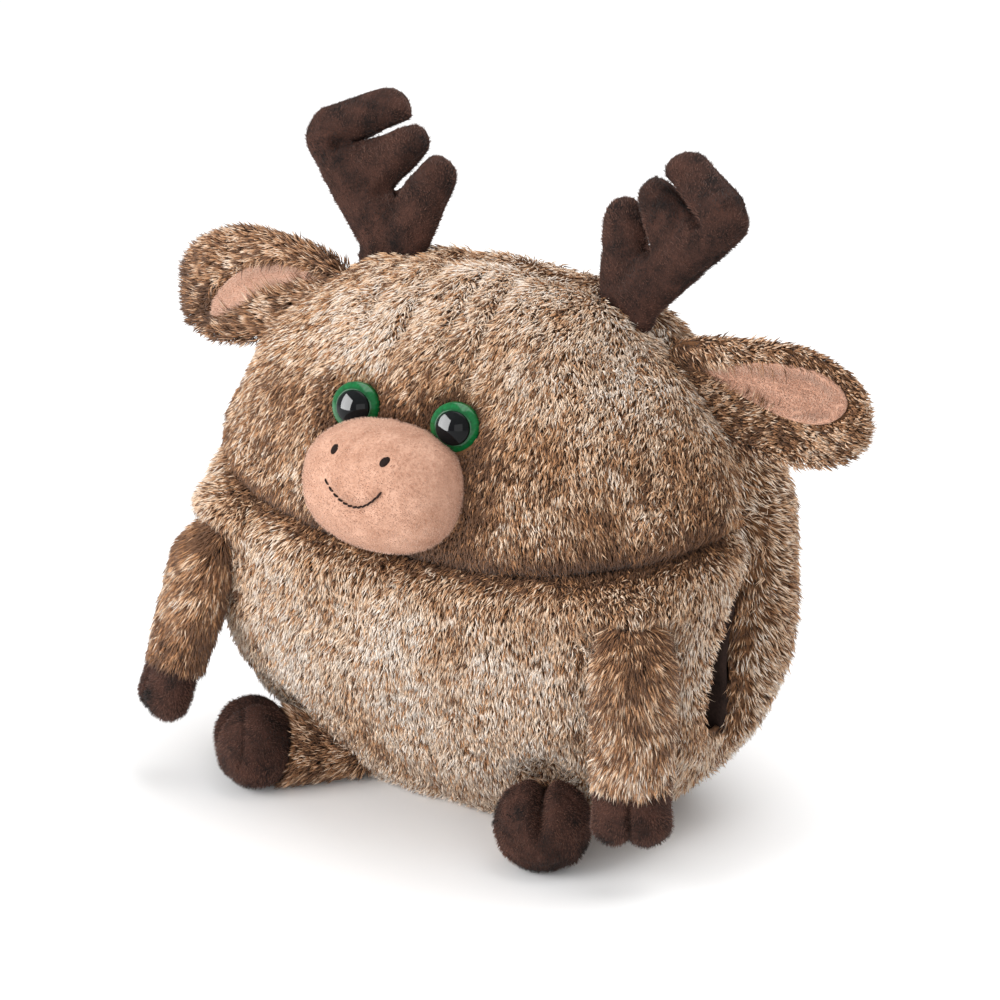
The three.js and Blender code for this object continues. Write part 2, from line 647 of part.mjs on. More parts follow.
// Ears
const earClear = bodySolid(-ear.clear, body.insideAround);
const leaf = solid(earLeaf()).subtract(earCup(0)).subtract(earClear).add(solid(earRootGeometry(0)));
const hollow = earCup(gap).subtract(earCup(gap + ear.lining));
const lip = solid(earLeaf());
const earLining = hollow.intersect(lip).subtract(earClear).subtract(solid(earRootGeometry(gap)));
toy.add(piece("left_ear_shell", geometryOf(leaf), colours.fur));
toy.add(piece("right_ear_shell", geometryOf(mirrorSolid(leaf)), colours.fur));
toy.add(piece("left_ear_lining", geometryOf(earLining), colours.peach));
toy.add(piece("right_ear_lining", geometryOf(mirrorSolid(earLining)), colours.peach));

// Antlers
const palm = [antler.beam, antler.lowTine, antler.midTine, antler.topTine].map(sausage)
  .reduce((joined, next) => joined.add(next));
const antlerSolid = cutAll(palm, [...antler.slits.map(slitCutter), bodySolid(-antler.clear, body.insideAround)])
  .add(solid(antlerRootGeometry(0)));
toy.add(piece("left_antler", geometryOf(antlerSolid), colours.brown));
toy.add(piece("right_antler", geometryOf(mirrorSolid(antlerSolid)), colours.brown));

// Arms and legs
for (const which of sides) {
  const armRoot = limb([[0, -arm.rootRadius], ...roundEnd(arm.rootRadius, 0, -quarter, quarter, 10), [0, arm.rootRadius]],
    arm.widthShare);
  const armSolid = cutAll(atArm(armSleeve(), which), [around.subtract(atArm(armRoot, which)), cutAll(outside, limbRooms)]);
  toy.add(piece(which + "_arm_sleeve", geometryOf(armSolid), colours.fur));
  const hoof = armFrame(which);
  const armHoofSolid = solid(placed(geometryOf(armHoof()), hoof.origin, hoof.hinge, hoof.out, hoof.up)).subtract(around);
  toy.add(piece(which + "_arm_hoof", geometryOf(armHoofSolid), colours.brown));
  const sleeve = cutAll(solid(atLeg(legSleeve(), which)), [legSweep(which), belowFloor]);
  toy.add(piece(which + "_leg_sleeve", geometryOf(sleeve), colours.fur));
  toy.add(piece(which + "_leg_hoof", geometryOf(cutAll(legHoof(which), [legSweep(which), belowFloor])), colours.brown));
}

export default toy;
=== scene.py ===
import json
import math
import bpy
import numpy as np
from mathutils import Matrix, Vector

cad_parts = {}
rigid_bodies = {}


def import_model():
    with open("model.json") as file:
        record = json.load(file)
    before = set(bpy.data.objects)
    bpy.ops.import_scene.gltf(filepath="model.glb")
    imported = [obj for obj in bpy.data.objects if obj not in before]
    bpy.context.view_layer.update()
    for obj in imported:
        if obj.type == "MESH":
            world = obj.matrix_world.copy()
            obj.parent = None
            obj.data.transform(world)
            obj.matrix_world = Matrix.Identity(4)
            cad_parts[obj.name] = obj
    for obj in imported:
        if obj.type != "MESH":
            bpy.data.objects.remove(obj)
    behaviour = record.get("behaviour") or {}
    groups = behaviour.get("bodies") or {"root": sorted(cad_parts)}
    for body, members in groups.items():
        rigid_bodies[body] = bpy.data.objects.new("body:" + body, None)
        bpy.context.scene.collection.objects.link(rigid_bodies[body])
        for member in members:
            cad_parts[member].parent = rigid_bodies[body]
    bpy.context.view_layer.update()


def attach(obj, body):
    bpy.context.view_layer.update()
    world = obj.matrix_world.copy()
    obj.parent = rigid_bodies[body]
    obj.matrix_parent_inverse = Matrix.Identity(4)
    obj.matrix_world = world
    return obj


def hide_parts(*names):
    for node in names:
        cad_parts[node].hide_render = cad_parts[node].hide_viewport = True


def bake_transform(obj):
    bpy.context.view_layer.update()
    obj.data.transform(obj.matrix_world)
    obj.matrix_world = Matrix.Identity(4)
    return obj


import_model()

# Round plush deer with a hand tunnel. It faces -Y, and its own left hand is on +X.
# Sizes and places in the dictionaries are in mm, and those that Blender gets are in metres.
mm = 0.001
sides = {"left": 1, "right": -1}
# Points closer than this merge, in mm
weld = {"usual": 0.05, "cover": 0.08, "wall": 0.02, "fine": 0.01, "finest": 0.001}
tiny = 1e-6  # keeps a division from meeting zero
farAway = 1000.0  # a distance at which nothing is felt, in mm


# Small helpers

def bell(distance, spread):
    return np.exp(-((distance / spread) ** 2))


def unit(v):
    v = np.asarray(v, float)
    return v / np.maximum(np.linalg.norm(v, axis=-1, keepdims=True), 1e-9)


def linear(red, green, blue):  # a colour as seen on a screen, 0 to 255, as the shader's numbers
    c = np.array([red, green, blue]) / 255
    return tuple(np.where(c <= 0.04045, c / 12.92, ((c + 0.055) / 1.055) ** 2.4)) + (1.0,)


def stopsOf(*stops):  # places and screen colours, as a ramp's stops
    return [(place, linear(*colour)) for place, colour in stops]


def softNoise(points, size, seed):  # smooth noise from 0 to 1, with lumps of about the given size
    cells, shift = 32, 100.0
    table = np.random.default_rng(seed).random((cells, cells, cells))
    q = np.asarray(points) / size + shift
    cell = np.floor(q).astype(int)
    t = q - cell
    t = t * t * (3 - 2 * t)
    total = 0
    for i in (0, 1):
        for j in (0, 1):
            for k in (0, 1):
                share = np.abs(1 - i - t[:, 0]) * np.abs(1 - j - t[:, 1]) * np.abs(1 - k - t[:, 2])
                x, y, z = ((cell + np.array([i, j, k])) % cells).T
                total = total + share * table[x, y, z]
    return total


def deselect():
    bpy.ops.object.select_all(action="DESELECT")


def pick(*pieces):
    deselect()
    for piece in pieces:
        piece.select_set(True)
    bpy.context.view_layer.objects.active = pieces[0]


def coordsOf(piece):
    co = np.zeros(len(piece.data.vertices) * 3)
    piece.data.vertices.foreach_get("co", co)
    return co.reshape(-1, 3)


def setCoords(piece, co):
    piece.data.vertices.foreach_set("co", np.asarray(co, float).ravel())
    piece.data.update()


def cleanMesh(piece, flip=False, merge=weld["usual"]):  # closes seams and poles and turns the faces outwards
    pick(piece)
    bpy.ops.object.mode_set(mode="EDIT")
    bpy.ops.mesh.select_all(action="SELECT")
    bpy.ops.mesh.remove_doubles(threshold=merge * mm)
    bpy.ops.mesh.dissolve_degenerate(threshold=weld["finest"] * mm)
    bpy.ops.mesh.select_all(action="SELECT")
    bpy.ops.mesh.normals_make_consistent(inside=flip)
    bpy.ops.object.mode_set(mode="OBJECT")
    bpy.ops.object.shade_smooth()


def addModifier(piece, kind, **settings):
    pick(piece)
    modifier = piece.modifiers.new(kind.title(), kind)
    for key, value in settings.items():
        setattr(modifier, key, value)
    bpy.ops.object.modifier_apply(modifier=modifier.name)


def giveWall(piece, thickness, merge):
    addModifier(piece, "SOLIDIFY", thickness=thickness * mm, offset=-1)
    cleanMesh(piece, merge=merge)


def rename(piece, name):
    piece.name = piece.data.name = name


def mappedGrid(name, columns, rows, place):  # a grid whose two ways, each 0 to 1, are laid on a surface
    deselect()
    bpy.ops.mesh.primitive_grid_add(x_subdivisions=columns, y_subdivisions=rows, size=1, calc_uvs=True)
    piece = bpy.context.object
    rename(piece, name)
    piece.data.uv_layers[0].name = "OFBake"
    co = coordsOf(piece)
    setCoords(piece, place(co[:, 0] + 0.5, co[:, 1] + 0.5))
    return piece


# A ball whose points, on a radius of 1, are moved by place. A grid's points are numbered alike in every run.
def mappedBall(name, segments, rings, place):
    def spot(u, v):
        turn, rise = 2 * np.pi * u, np.pi * (v - 0.5)
        return place(np.stack([np.cos(rise) * np.cos(turn), np.cos(rise) * np.sin(turn), np.sin(rise)], -1))

    piece = mappedGrid(name, segments, rings, spot)
    cleanMesh(piece)
    return piece


def surfaceOf(piece):  # points, triangles and point normals, as arrays
    mesh = piece.data
    mesh.calc_loop_triangles()
    triangles = np.zeros(len(mesh.loop_triangles) * 3, int)
    mesh.loop_triangles.foreach_get("vertices", triangles)
    normals = np.zeros(len(mesh.vertices) * 3)
    mesh.vertices.foreach_get("normal", normals)
    return coordsOf(piece), triangles.reshape(-1, 3), normals.reshape(-1, 3)


def frameAlong(along, across):  # three square axes as columns, the last one along
    z = unit(along)
    y = unit(np.cross(z, across))
    return np.stack([np.cross(y, z), y, z], 1)


def mirrorX(co):
    return co * np.array([-1, 1, 1])


def roundParts(ball):  # each point's distance from the ball's axis, and its direction around it
    flat = np.hypot(ball[:, 0], ball[:, 1])
    return flat, ball[:, :2] / np.maximum(flat, tiny)[:, None]


def jointAt(body, origin, along, inside, outside):  # the toy's body, a piece's own body and two points along the piece, for a joint between them
    return "body", body, tuple(origin - along * (inside * mm)), tuple(origin + along * (outside * mm))


def hold(piece, holder):  # on one body by its name; a piece given a joint is only baked where it stands
    if isinstance(holder, str):
        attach(piece, holder)
    else:
        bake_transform(piece)


def finishPiece(piece, holder, slotName, material, *nodes, fill=None):
    piece.data.materials.clear()
    piece.data.materials.append(material)
    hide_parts(*nodes)
    hold(piece, holder)


# Materials

def newMaterial(name, roughness, **fixed):
    material = bpy.data.materials.new(name)
    material.use_nodes = True
    shader = material.node_tree.nodes["Principled BSDF"]
    shader.inputs["Roughness"].default_value = roughness
    for key, value in fixed.items():
        shader.inputs[key.replace("_", " ")].default_value = value
    return material, material.node_tree, shader


def node(tree, kind, **values):
    made = tree.nodes.new(kind)
    for key, value in values.items():
        if hasattr(made, key):
            setattr(made, key, value)
        else:
            made.inputs[key.replace("_", " ")].default_value = value
    return made


def rampOf(tree, stops, factor):
    made = tree.nodes.new("ShaderNodeValToRGB")
    ramp = made.color_ramp
    while len(ramp.elements) < len(stops):
        ramp.elements.new(0.5)
    for element, (place, colour) in zip(ramp.elements, stops):
        element.position, element.color = place, colour
    tree.links.new(factor, made.inputs["Fac"])
    return made.outputs["Color"]


def mixColours(tree, factor, first, second, way="MIX"):
    mix = tree.nodes.new("ShaderNodeMix")
    mix.data_type, mix.blend_type = "RGBA", way
    for socket, value in ((mix.inputs["Factor"], factor), (mix.inputs[6], first), (mix.inputs[7], second)):
        if isinstance(value, bpy.types.NodeSocket):
            tree.links.new(value, socket)
        else:
            socket.default_value = value
    return mix.outputs[2]


def ownMap(tree):  # the piece's own map, whole and split into its two ways
    place = node(tree, "ShaderNodeUVMap", uv_map="OFBake")
    split = tree.nodes.new("ShaderNodeSeparateXYZ")
    tree.links.new(place.outputs["UV"], split.inputs[0])
    return place.outputs["UV"], split.outputs["X"], split.outputs["Y"]


furLook = {"roughness": 0.7, "shine": 0.2, "sheen": 0.08, "sheenRoughness": 0.5, "middleReach": (0.08, 0.5),
           "tipReach": (0.3, 0.74), "earTipReach": (0.4, 0.85), "plainReach": (0.2, 0.9)}
furRoots = stopsOf((0.0, (56, 38, 27)), (0.4, (105, 74, 51)), (1.0, (148, 110, 80)))
furMiddles = stopsOf((0.0, (84, 58, 41)), (0.3, (149, 104, 69)), (0.6, (199, 152, 111)),
                     (1.0, (217, 186, 154)))
furTips = stopsOf((0.0, (99, 70, 51)), (0.18, (149, 105, 71)), (0.32, (188, 140, 99)),
                  (0.46, (210, 174, 141)), (0.62, (224, 199, 173)), (0.85, (230, 214, 198)),
                  (1.0, (227, 218, 209)))
earTips = stopsOf((0.0, (90, 63, 46)), (0.2, (142, 100, 68)), (0.38, (180, 137, 102)), (0.6, (213, 183, 156)),
                  (1.0, (230, 212, 194)))


# Fur: each strand has its tone across the map and its length along it
def furMaterial(name, roots, middles, tips, tipReach):
    material, tree, shader = newMaterial(name, furLook["roughness"], Specular_IOR_Level=furLook["shine"],
                                         Sheen_Weight=furLook["sheen"],
                                         Sheen_Roughness=furLook["sheenRoughness"])
    whole, tone, length = ownMap(tree)
    colour = rampOf(tree, roots, tone)
    for stops, reach in ((middles, furLook["middleReach"]), (tips, tipReach)):
        along = node(tree, "ShaderNodeMapRange", interpolation_type="SMOOTHSTEP", From_Min=reach[0],
                     From_Max=reach[1])
        tree.links.new(length, along.inputs["Value"])
        colour = mixColours(tree, along.outputs["Result"], colour, rampOf(tree, stops, tone))
    tree.links.new(colour, shader.inputs["Base Color"])
    return material


def plainFurMaterial(name, low, high):
    stops = stopsOf((0.0, low), (1.0, high))
    return furMaterial(name, stops, stops, stops, furLook["plainReach"])


plushMix = {"shine": 0.2, "sheenRoughness": 0.45, "patchDetail": 4, "patchRoughness": 0.6, "patchShare": 0.55,
            "napDetail": 3, "napRoughness": 0.7, "napShare": 0.45, "bumpStrength": 0.6}
plushLooks = {
    "backing": {"name": "furBacking", "dark": (74, 49, 32), "light": (122, 86, 58), "span": (0.32, 0.68),
                "patch": 10, "nap": 1.2, "bump": 0.4, "roughness": 0.95, "sheen": 0},
    "peach": {"name": "peachPlush", "dark": (150, 107, 85), "light": (205, 164, 142), "span": (0.32, 0.68),
              "patch": 12, "nap": 1.2, "bump": 0.8, "roughness": 0.85, "sheen": 0.12},
    "brown": {"name": "chocolatePlush", "dark": (17, 9, 7), "light": (74, 47, 38), "span": (0.37, 0.64),
              "patch": 10, "nap": 0.9, "bump": 1.6, "roughness": 0.85, "sheen": 0.05},
    "lining": {"name": "tunnelPlush", "dark": (30, 20, 17), "light": (62, 46, 40), "span": (0.32, 0.68),
               "patch": 12, "nap": 1.2, "bump": 0.4, "roughness": 0.85, "sheen": 0.4}}


# Short plush: a nap that shimmers in soft patches
def plushMaterial(look):
    mix, dark, light = plushMix, linear(*look["dark"]), linear(*look["light"])
    material, tree, shader = newMaterial(look["name"], look["roughness"], Specular_IOR_Level=mix["shine"],
                                         Sheen_Weight=look["sheen"], Sheen_Roughness=mix["sheenRoughness"],
                                         Sheen_Tint=light)
    place = tree.nodes.new("ShaderNodeTexCoord")
    patches = node(tree, "ShaderNodeTexNoise", Scale=1 / (look["patch"] * mm), Detail=mix["patchDetail"],
                   Roughness=mix["patchRoughness"])
    fibres = node(tree, "ShaderNodeTexNoise", Scale=1 / (look["nap"] * mm), Detail=mix["napDetail"],
                  Roughness=mix["napRoughness"])
    for texture in (patches, fibres):
        tree.links.new(place.outputs["Object"], texture.inputs["Vector"])
    scaled = node(tree, "ShaderNodeMath", operation="MULTIPLY")
    scaled.inputs[1].default_value = mix["patchShare"]
    tree.links.new(patches.outputs["Fac"], scaled.inputs[0])
    both = node(tree, "ShaderNodeMath", operation="MULTIPLY_ADD")
    both.inputs[1].default_value = mix["napShare"]
    tree.links.new(fibres.outputs["Fac"], both.inputs[0])
    tree.links.new(scaled.outputs[0], both.inputs[2])
    low, high = look["span"]
    tree.links.new(rampOf(tree, [(low, dark), (high, light)], both.outputs[0]), shader.inputs["Base Color"])
    bump = node(tree, "ShaderNodeBump", Strength=mix["bumpStrength"], Distance=look["bump"] * mm)
    tree.links.new(fibres.outputs["Fac"], bump.inputs["Height"])
    tree.links.new(bump.outputs["Normal"], shader.inputs["Normal"])
    return material


materials = {key: plushMaterial(look) for key, look in plushLooks.items()}
materials["fur"] = furMaterial("mottledFur", furRoots, furMiddles, furTips, furLook["tipReach"])
materials["darkFur"] = furMaterial("earFur", furRoots, furMiddles, earTips, furLook["earTipReach"])
materials["peachNap"] = plainFurMaterial("peachNap", (178, 136, 115), (211, 173, 152))
materials["brownNap"] = plainFurMaterial("chocolateNap", (13, 7, 5), (98, 65, 52))
print("materials made")


# Fur

# What sets the coats apart: lengths in mm, angles in radians, and "gather", "open" and "specks" as shares
longFur = {"length": 7.6, "width": 0.76, "lean": 0.84, "swirl": 24, "swing": 1.3, "stray": 0.28,
           "tuft": 2.5, "gather": 0.85, "open": 0.25, "specks": 0.03}
shortFur = {"length": 1.8, "width": 0.4, "lean": 0.6, "swirl": 12, "swing": 1.6, "stray": 0.5,
            "tuft": 1.6, "gather": 0.5, "open": 0, "specks": 0}
# How every strand varies and stands
strand = {"leanWave": 0.5, "leanSpread": 0.16, "leanOnTop": 0.35, "leanMost": 1.35, "lengthPatch": 11,
          "shortest": 0.8, "lengthSpread": 0.4, "patchShortest": 0.85, "patchSpread": 0.3, "middleStand": 0.6,
          "middleLay": 0.46, "tipStand": 0.86, "middlePull": 0.25, "tuftDepth": 50, "thinnest": 0.7,
          "thickSpread": 0.6, "sunk": 0.4, "lowest": 0.1, "middleLowest": 0.5, "tipLowest": 0.3}
# How its tone, from 0 to 1, is drawn
tones = {"middle": 0.64, "spread": 0.3, "open": 0.34, "speck": 0.05, "least": 0.03, "most": 0.96,
         "breadth": 0.0012, "mottle": 0.6, "finePatch": 6, "widePatch": 34, "wideSeed": 77, "darkShare": 1.9,
         "tuftShare": 0.7, "ownShare": 0.3, "dark": 0.36, "darkShade": 0.4}
# How far up the map the points of a strand are: the middle, the tip and the root, or the root and the tip
bentShares, straightShares = (0.58, 0.59, 0.6, 1.0, 0.0), (0.0, 0.01, 0.02, 1.0)


def scatter(surface, count, rng):  # places spread evenly on a surface, with their normals
    points, triangles, normals = surface
    a, b, c = (points[triangles[:, i]] for i in range(3))
    area = np.linalg.norm(np.cross(b - a, c - a), axis=1) / 2
    chosen = rng.choice(len(triangles), count, p=area / area.sum())
    r1, r2 = np.sqrt(rng.random(count)), rng.random(count)
    weights = np.stack([1 - r1, r1 * (1 - r2), r1 * r2], 1)[:, :, None]
    root = (np.stack([a, b, c], 1)[chosen] * weights).sum(1)
    return root, unit((normals[triangles[chosen]] * weights).sum(1))


def strandMesh(name, points, tone, shares):  # closed, tapering strands from rows of points
    n, size = points.shape[:2]
    bent = size == len(bentShares)
    pattern = [(k, (k + 1) % 3, 3) for k in range(3)]
    pattern += [(4, (k + 1) % 3, k) for k in range(3)] if bent else [(0, 2, 1)]
    faces = (np.array(pattern)[None] + size * np.arange(n)[:, None, None]).reshape(-1)
    breadth = np.array([-1, 0, 1, 0, 0][:size]) * tones["breadth"]
    along = np.broadcast_to(np.array(shares), (n, size))
    uv = np.stack([tone[:, None] + breadth[None], along], 2).reshape(-1, 2)[faces]
    mesh = bpy.data.meshes.new(name)
    mesh.vertices.add(n * size)
    mesh.vertices.foreach_set("co", points.ravel())
    mesh.loops.add(len(faces))
    mesh.loops.foreach_set("vertex_index", faces.astype(np.int32))
    mesh.polygons.add(len(faces) // 3)
    mesh.polygons.foreach_set("loop_start", np.arange(0, len(faces), 3, dtype=np.int32))
    mesh.polygons.foreach_set("use_smooth", np.ones(len(faces) // 3, bool))
    mesh.uv_layers.new(name="OFBake").data.foreach_set("uv", uv.ravel())
    mesh.update(calc_edges=True)
    mesh.validate()
    return mesh


# Grows strands on a surface. Each lies along its flow and leans to its tuft. The order of the draws counts.
def growFur(name, surface, count, fur, flow, holder, material, slotName, keep=None, shade=None, trim=None,
            seed=1, bent=True):
    rng = np.random.default_rng(seed)
    root, normal = scatter(surface, count, rng)
    if keep is not None:
        kept = keep(root, normal)
        root, normal = root[kept], normal[kept]
    n, s = len(root), strand
    swirl = fur["swirl"] * mm
    lie = flow(root, normal)
    lie = unit(lie - normal * (lie * normal).sum(1, keepdims=True))
    across = np.cross(normal, lie)
    swing = (softNoise(root, swirl, seed + 11) - 0.5) * fur["swing"] + rng.normal(0, fur["stray"], n)
    lie = lie * np.cos(swing)[:, None] + across * np.sin(swing)[:, None]
    wave = (softNoise(root, swirl, seed + 12) - 0.5) * s["leanWave"]
    lean = fur["lean"] + wave + rng.normal(0, s["leanSpread"], n)
    lean = np.minimum(lean + s["leanOnTop"] * np.clip(normal[:, 2], 0, 1), s["leanMost"])
    length = fur["length"] * mm * (s["shortest"] + s["lengthSpread"] * rng.random(n))
    lengthNoise = softNoise(root, s["lengthPatch"] * mm, seed + 13)
    length = length * (s["patchShortest"] + s["patchSpread"] * lengthNoise)
    if trim is not None:
        length = length * trim(root)
    stand = np.cos(lean)[:, None] * normal
    lay = np.sin(lean)[:, None] * lie
    middle = root + (stand * s["middleStand"] + lay * s["middleLay"]) * length[:, None]
    tip = root + (stand * s["tipStand"] + lay) * length[:, None]
    cell = np.floor((root + normal * (s["tuftDepth"] * mm)) / (fur["tuft"] * mm) + rng.random(3)).astype(int)
    tuft = np.unique(cell, axis=0, return_inverse=True)[1].ravel()
    heads = np.stack([np.bincount(tuft, tip[:, i]) for i in range(3)], 1) / np.bincount(tuft)[:, None]
    pull = (fur["gather"] * rng.random(n))[:, None]
    tip = tip + (heads[tuft] - tip) * pull
    middle = middle + (heads[tuft] - tip) * pull * s["middlePull"]
    middle[:, 2] = np.maximum(middle[:, 2], s["middleLowest"] * mm)
    tip[:, 2] = np.maximum(tip[:, 2], s["tipLowest"] * mm)
    tone = drawTones(root, tuft, fur, shade, rng, seed)
    axis = unit(tip - root)
    sideways = unit(np.cross(axis, rng.normal(size=(n, 3))))
    other = np.cross(axis, sideways)
    thick = (fur["width"] * mm * (s["thinnest"] + s["thickSpread"] * rng.random(n)))[:, None]
    turns = [2 * math.pi * k / 3 for k in range(3)]
    rings = [(sideways * math.cos(turn) + other * math.sin(turn)) * thick / 2 for turn in turns]
    foot = root - normal * s["sunk"] * mm
    if bent:
        rows = [middle + ring for ring in rings] + [tip, foot]
    else:
        rows = [foot + ring for ring in rings] + [tip]
    points = np.stack(rows, 1)
    points[:, :, 2] = np.maximum(points[:, :, 2], s["lowest"] * mm)
    piece = bpy.data.objects.new(name, strandMesh(name, points, tone, bentShares if bent else straightShares))
    bpy.context.scene.collection.objects.link(piece)
    piece.data.materials.append(material)
    hold(piece, holder)
    print("fur", name, n, "strands")


def drawTones(root, tuft, fur, shade, rng, seed):
    n, tufts = len(root), tuft.max() + 1
    tuftTone = rng.random(tufts)[tuft]
    tone = tones["middle"] + tones["spread"] * (rng.random(n) - 0.5) + tones["spread"] * (tuftTone - 0.5)
    tone = tone - tones["open"] * (tuftTone < fur["open"])
    for patch, patchSeed in ((tones["finePatch"], seed + 14), (tones["widePatch"], tones["wideSeed"])):
        tone += tones["mottle"] * (softNoise(root, patch * mm, patchSeed) - 0.5)
    if shade is not None:  # a place with painted shade has more dark tufts, and lighter ones that are a little darker; painted light makes the tufts lighter
        shaded = shade(root)
        chance = rng.random(tufts)[tuft] * tones["tuftShare"] + rng.random(n) * tones["ownShare"]
        tone = tone - np.where(chance < -tones["darkShare"] * shaded, tones["dark"], 0)
        tone = tone + np.where(shaded > 0, shaded, tones["darkShade"] * shaded)
    tone = np.where(rng.random(n) < fur["specks"], tones["speck"], tone)
    return np.clip(tone, tones["least"], tones["most"])


# Several coats, each under the limit of faces to a piece; the last is of straight strands
def growCoats(name, surface, count, coats, *rest, seed, seedStep=37, **more):
    for i in range(coats):
        growFur(f"{name}_{i + 1}", surface, count // coats, *rest, seed=seed + seedStep * i,
                bent=i < coats - 1, **more)


# Body

# The body's shape; "Full" and "Round" values set how square or pointed it is, and "lap" and "nape" are shares
shape = {"halfWidth": 155, "frontDepth": 102, "backDepth": 100, "centre": 131, "top": 136, "bottom": 150,
         "rest": 0.8, "topFull": 2.35, "bottomFull": 2.5, "frontFull": 2.6, "backFull": 2.0, "browRound": 0.4,
         "lap": 0.18, "nape": 0.32, "napeFull": 1.5, "frontFade": 5, "pile": 5.5, "cloth": 2.2, "fill": 0.8,
         "seamY": 4, "seamDepth": 4, "seamSpread": 9, "crease": 143, "creaseRise": 22, "riseSpread": 55,
         "creaseDepth": 9, "creaseSpread": 9, "foldDepth": 5, "foldSpread": 4.5, "lump": 3.4, "lumpSize": 34,
         "smallLump": 0.7, "smallLumpSize": 15}
jowl = {"depth": 3, "above": 32, "spread": 30}
temple = {"depth": 11, "height": 170, "spread": 32, "reach": 15}
shoulder = {"rise": 12, "x": {"left": 128, "right": 119}, "y": -80, "z": 137,
            "spreadX": 22.5, "spreadY": 26, "spreadZ": 8.25}
gathers = {"places": (-47, -21, 6, 24), "lean": 0.3, "depth": 4.8, "spread": 3.0, "z": 249, "reach": 13}
antlerSeat = {"rise": 5, "x": 62, "spread": 26, "reach": 34, "from": 80, "over": 30}
tunnel = {"top": 152, "bottom": 48, "bow": 38, "lowShare": 0.72, "blunt": 2.6, "inside": 0.68, "flare": 6,
          "dip": 19, "dipHeight": 98, "dipSpread": 42, "dipReach": 22, "dipFore": 9}
# Room for a lifted hoof: its middle, and how deep the belly gives way
footRoom = {"left": (78.7, -77.6, 29.3), "right": (-90.1, -77.9, 30.7), "radius": 22, "deepest": 10}
underShares = {"belly": 0.14, "back": 0.1}  # how much of each panel's way up is its flat underside
crown = shape["centre"] + shape["top"]


# The body's surface, "under" mm below the pile, from a turn about Z and a height before the crease's rise
def bodySurface(turn, height, under):
    s = shape
    across, fore = np.cos(turn), np.sin(turn)
    rise = s["creaseRise"] * across ** 2 * bell(height - s["crease"], s["riseSpread"])
    z = height + rise - s["centre"]
    above = z > 0
    level = np.clip(np.abs(z) / np.where(above, s["top"], s["bottom"]), 0, 1)
    reach = np.sqrt(np.maximum(0, 1 - level ** np.where(above, s["topFull"], s["bottomFull"])))
    brow = np.where(above, level, 0)
    front = fore < 0
    corner = np.where(front, s["frontFull"] - s["browRound"] * brow, s["backFull"])
    full = (np.abs(across) ** corner + np.abs(fore) ** corner) ** (-1 / corner)
    frontDepth = s["frontDepth"] * (1 - s["lap"] * np.where(above, 0, level) ** 2)
    depth = np.where(front, frontDepth, s["backDepth"] * (1 - s["nape"] * brow ** s["napeFull"]))
    p = np.stack([s["halfWidth"] * across * full * reach, depth * fore * full * reach, z], -1)
    cut = hollows(p, height, height + rise, np.clip(-s["frontFade"] * fore, 0, 1), across)
    p = p - unit(p) * (cut + under)[..., None]
    p[..., 1] += s["seamY"]
    p[..., 2] = np.maximum(p[..., 2] + s["centre"], s["rest"])
    return p * mm


# How deep the surface is drawn in: by the crease and its fold, the seam, the slit and the gathers
def hollows(p, height, risen, fade, across):
    s, x, y, z = shape, p[..., 0], p[..., 1], p[..., 2]
    high = z + s["centre"]
    above = height - s["crease"]
    cut = fade * (s["creaseDepth"] * bell(above, s["creaseSpread"])
                  + s["foldDepth"] * bell(above, s["foldSpread"])
                  + jowl["depth"] * bell(above - jowl["above"], jowl["spread"]) * np.abs(across))
    cut = cut + s["seamDepth"] * bell(y, s["seamSpread"])
    slit = bell(y + tunnel["dipFore"], tunnel["dipReach"])
    slit = slit * bell(risen - tunnel["dipHeight"], tunnel["dipSpread"])
    cut = cut + tunnel["dip"] * slit
    cut = cut + temple["depth"] * bell(y, temple["reach"]) * bell(risen - temple["height"], temple["spread"])
    for which, side in sides.items():
        cut = cut - shoulder["rise"] * bell(x - side * shoulder["x"][which], shoulder["spreadX"]) * bell(
            y - shoulder["y"], shoulder["spreadY"]) * bell(high - shoulder["z"], shoulder["spreadZ"])
    for place in gathers["places"]:
        line = place - gathers["lean"] * (high - gathers["z"])
        cut = cut + fade * gathers["depth"] * bell(x - line, gathers["spread"]) * bell(
            high - gathers["z"], gathers["reach"])
    seat = bell(np.abs(x) - antlerSeat["x"], antlerSeat["spread"]) * bell(y, antlerSeat["reach"])
    cut = cut - antlerSeat["rise"] * seat * np.clip((z - antlerSeat["from"]) / antlerSeat["over"], 0, 1)
    for which in sides:
        far = np.linalg.norm(p + np.array([0, s["seamY"], s["centre"]]) - np.array(footRoom[which]), axis=-1)
        cut = cut + np.clip(footRoom["radius"] - far, 0, footRoom["deepest"])
    cut = cut - s["lump"] * (softNoise(p, s["lumpSize"], 5) - 0.5)
    return cut - s["smallLump"] * s["lump"] * (softNoise(p, s["smallLumpSize"], 6) - 0.5)


def tunnelBow(z):  # how far the slit's front edge bows forward of the seam, in mm
    share = np.clip((z - tunnel["bottom"]) / (tunnel["top"] - tunnel["bottom"]), tiny, 1 - tiny)
    return tunnel["bow"] * (1 - np.abs(1 - 2 * share ** tunnel["lowShare"]) ** tunnel["blunt"])


def seamRise(height):  # how far the crease lifts a ring of the body at its seam, in mm
    return shape["creaseRise"] * bell(height - shape["crease"], shape["riseSpread"])


def quarterSine(v):
    return np.sin(v * np.pi / 2)


def faceSpot(u, v):
    height = shape["crease"] + (crown - shape["crease"]) * quarterSine(v)
    return bodySurface(np.pi * (1 + u), height, shape["pile"])


def lowPanel(turn, v, height, flat):  # a panel whose first rows, up to "flat", are its underside
    spot = bodySurface(turn, height, shape["pile"])
    middle = np.array([0, shape["seamY"] * mm, shape["rest"] * mm])
    return middle + (spot - middle) * np.clip(v / flat, 0, 1)[..., None]


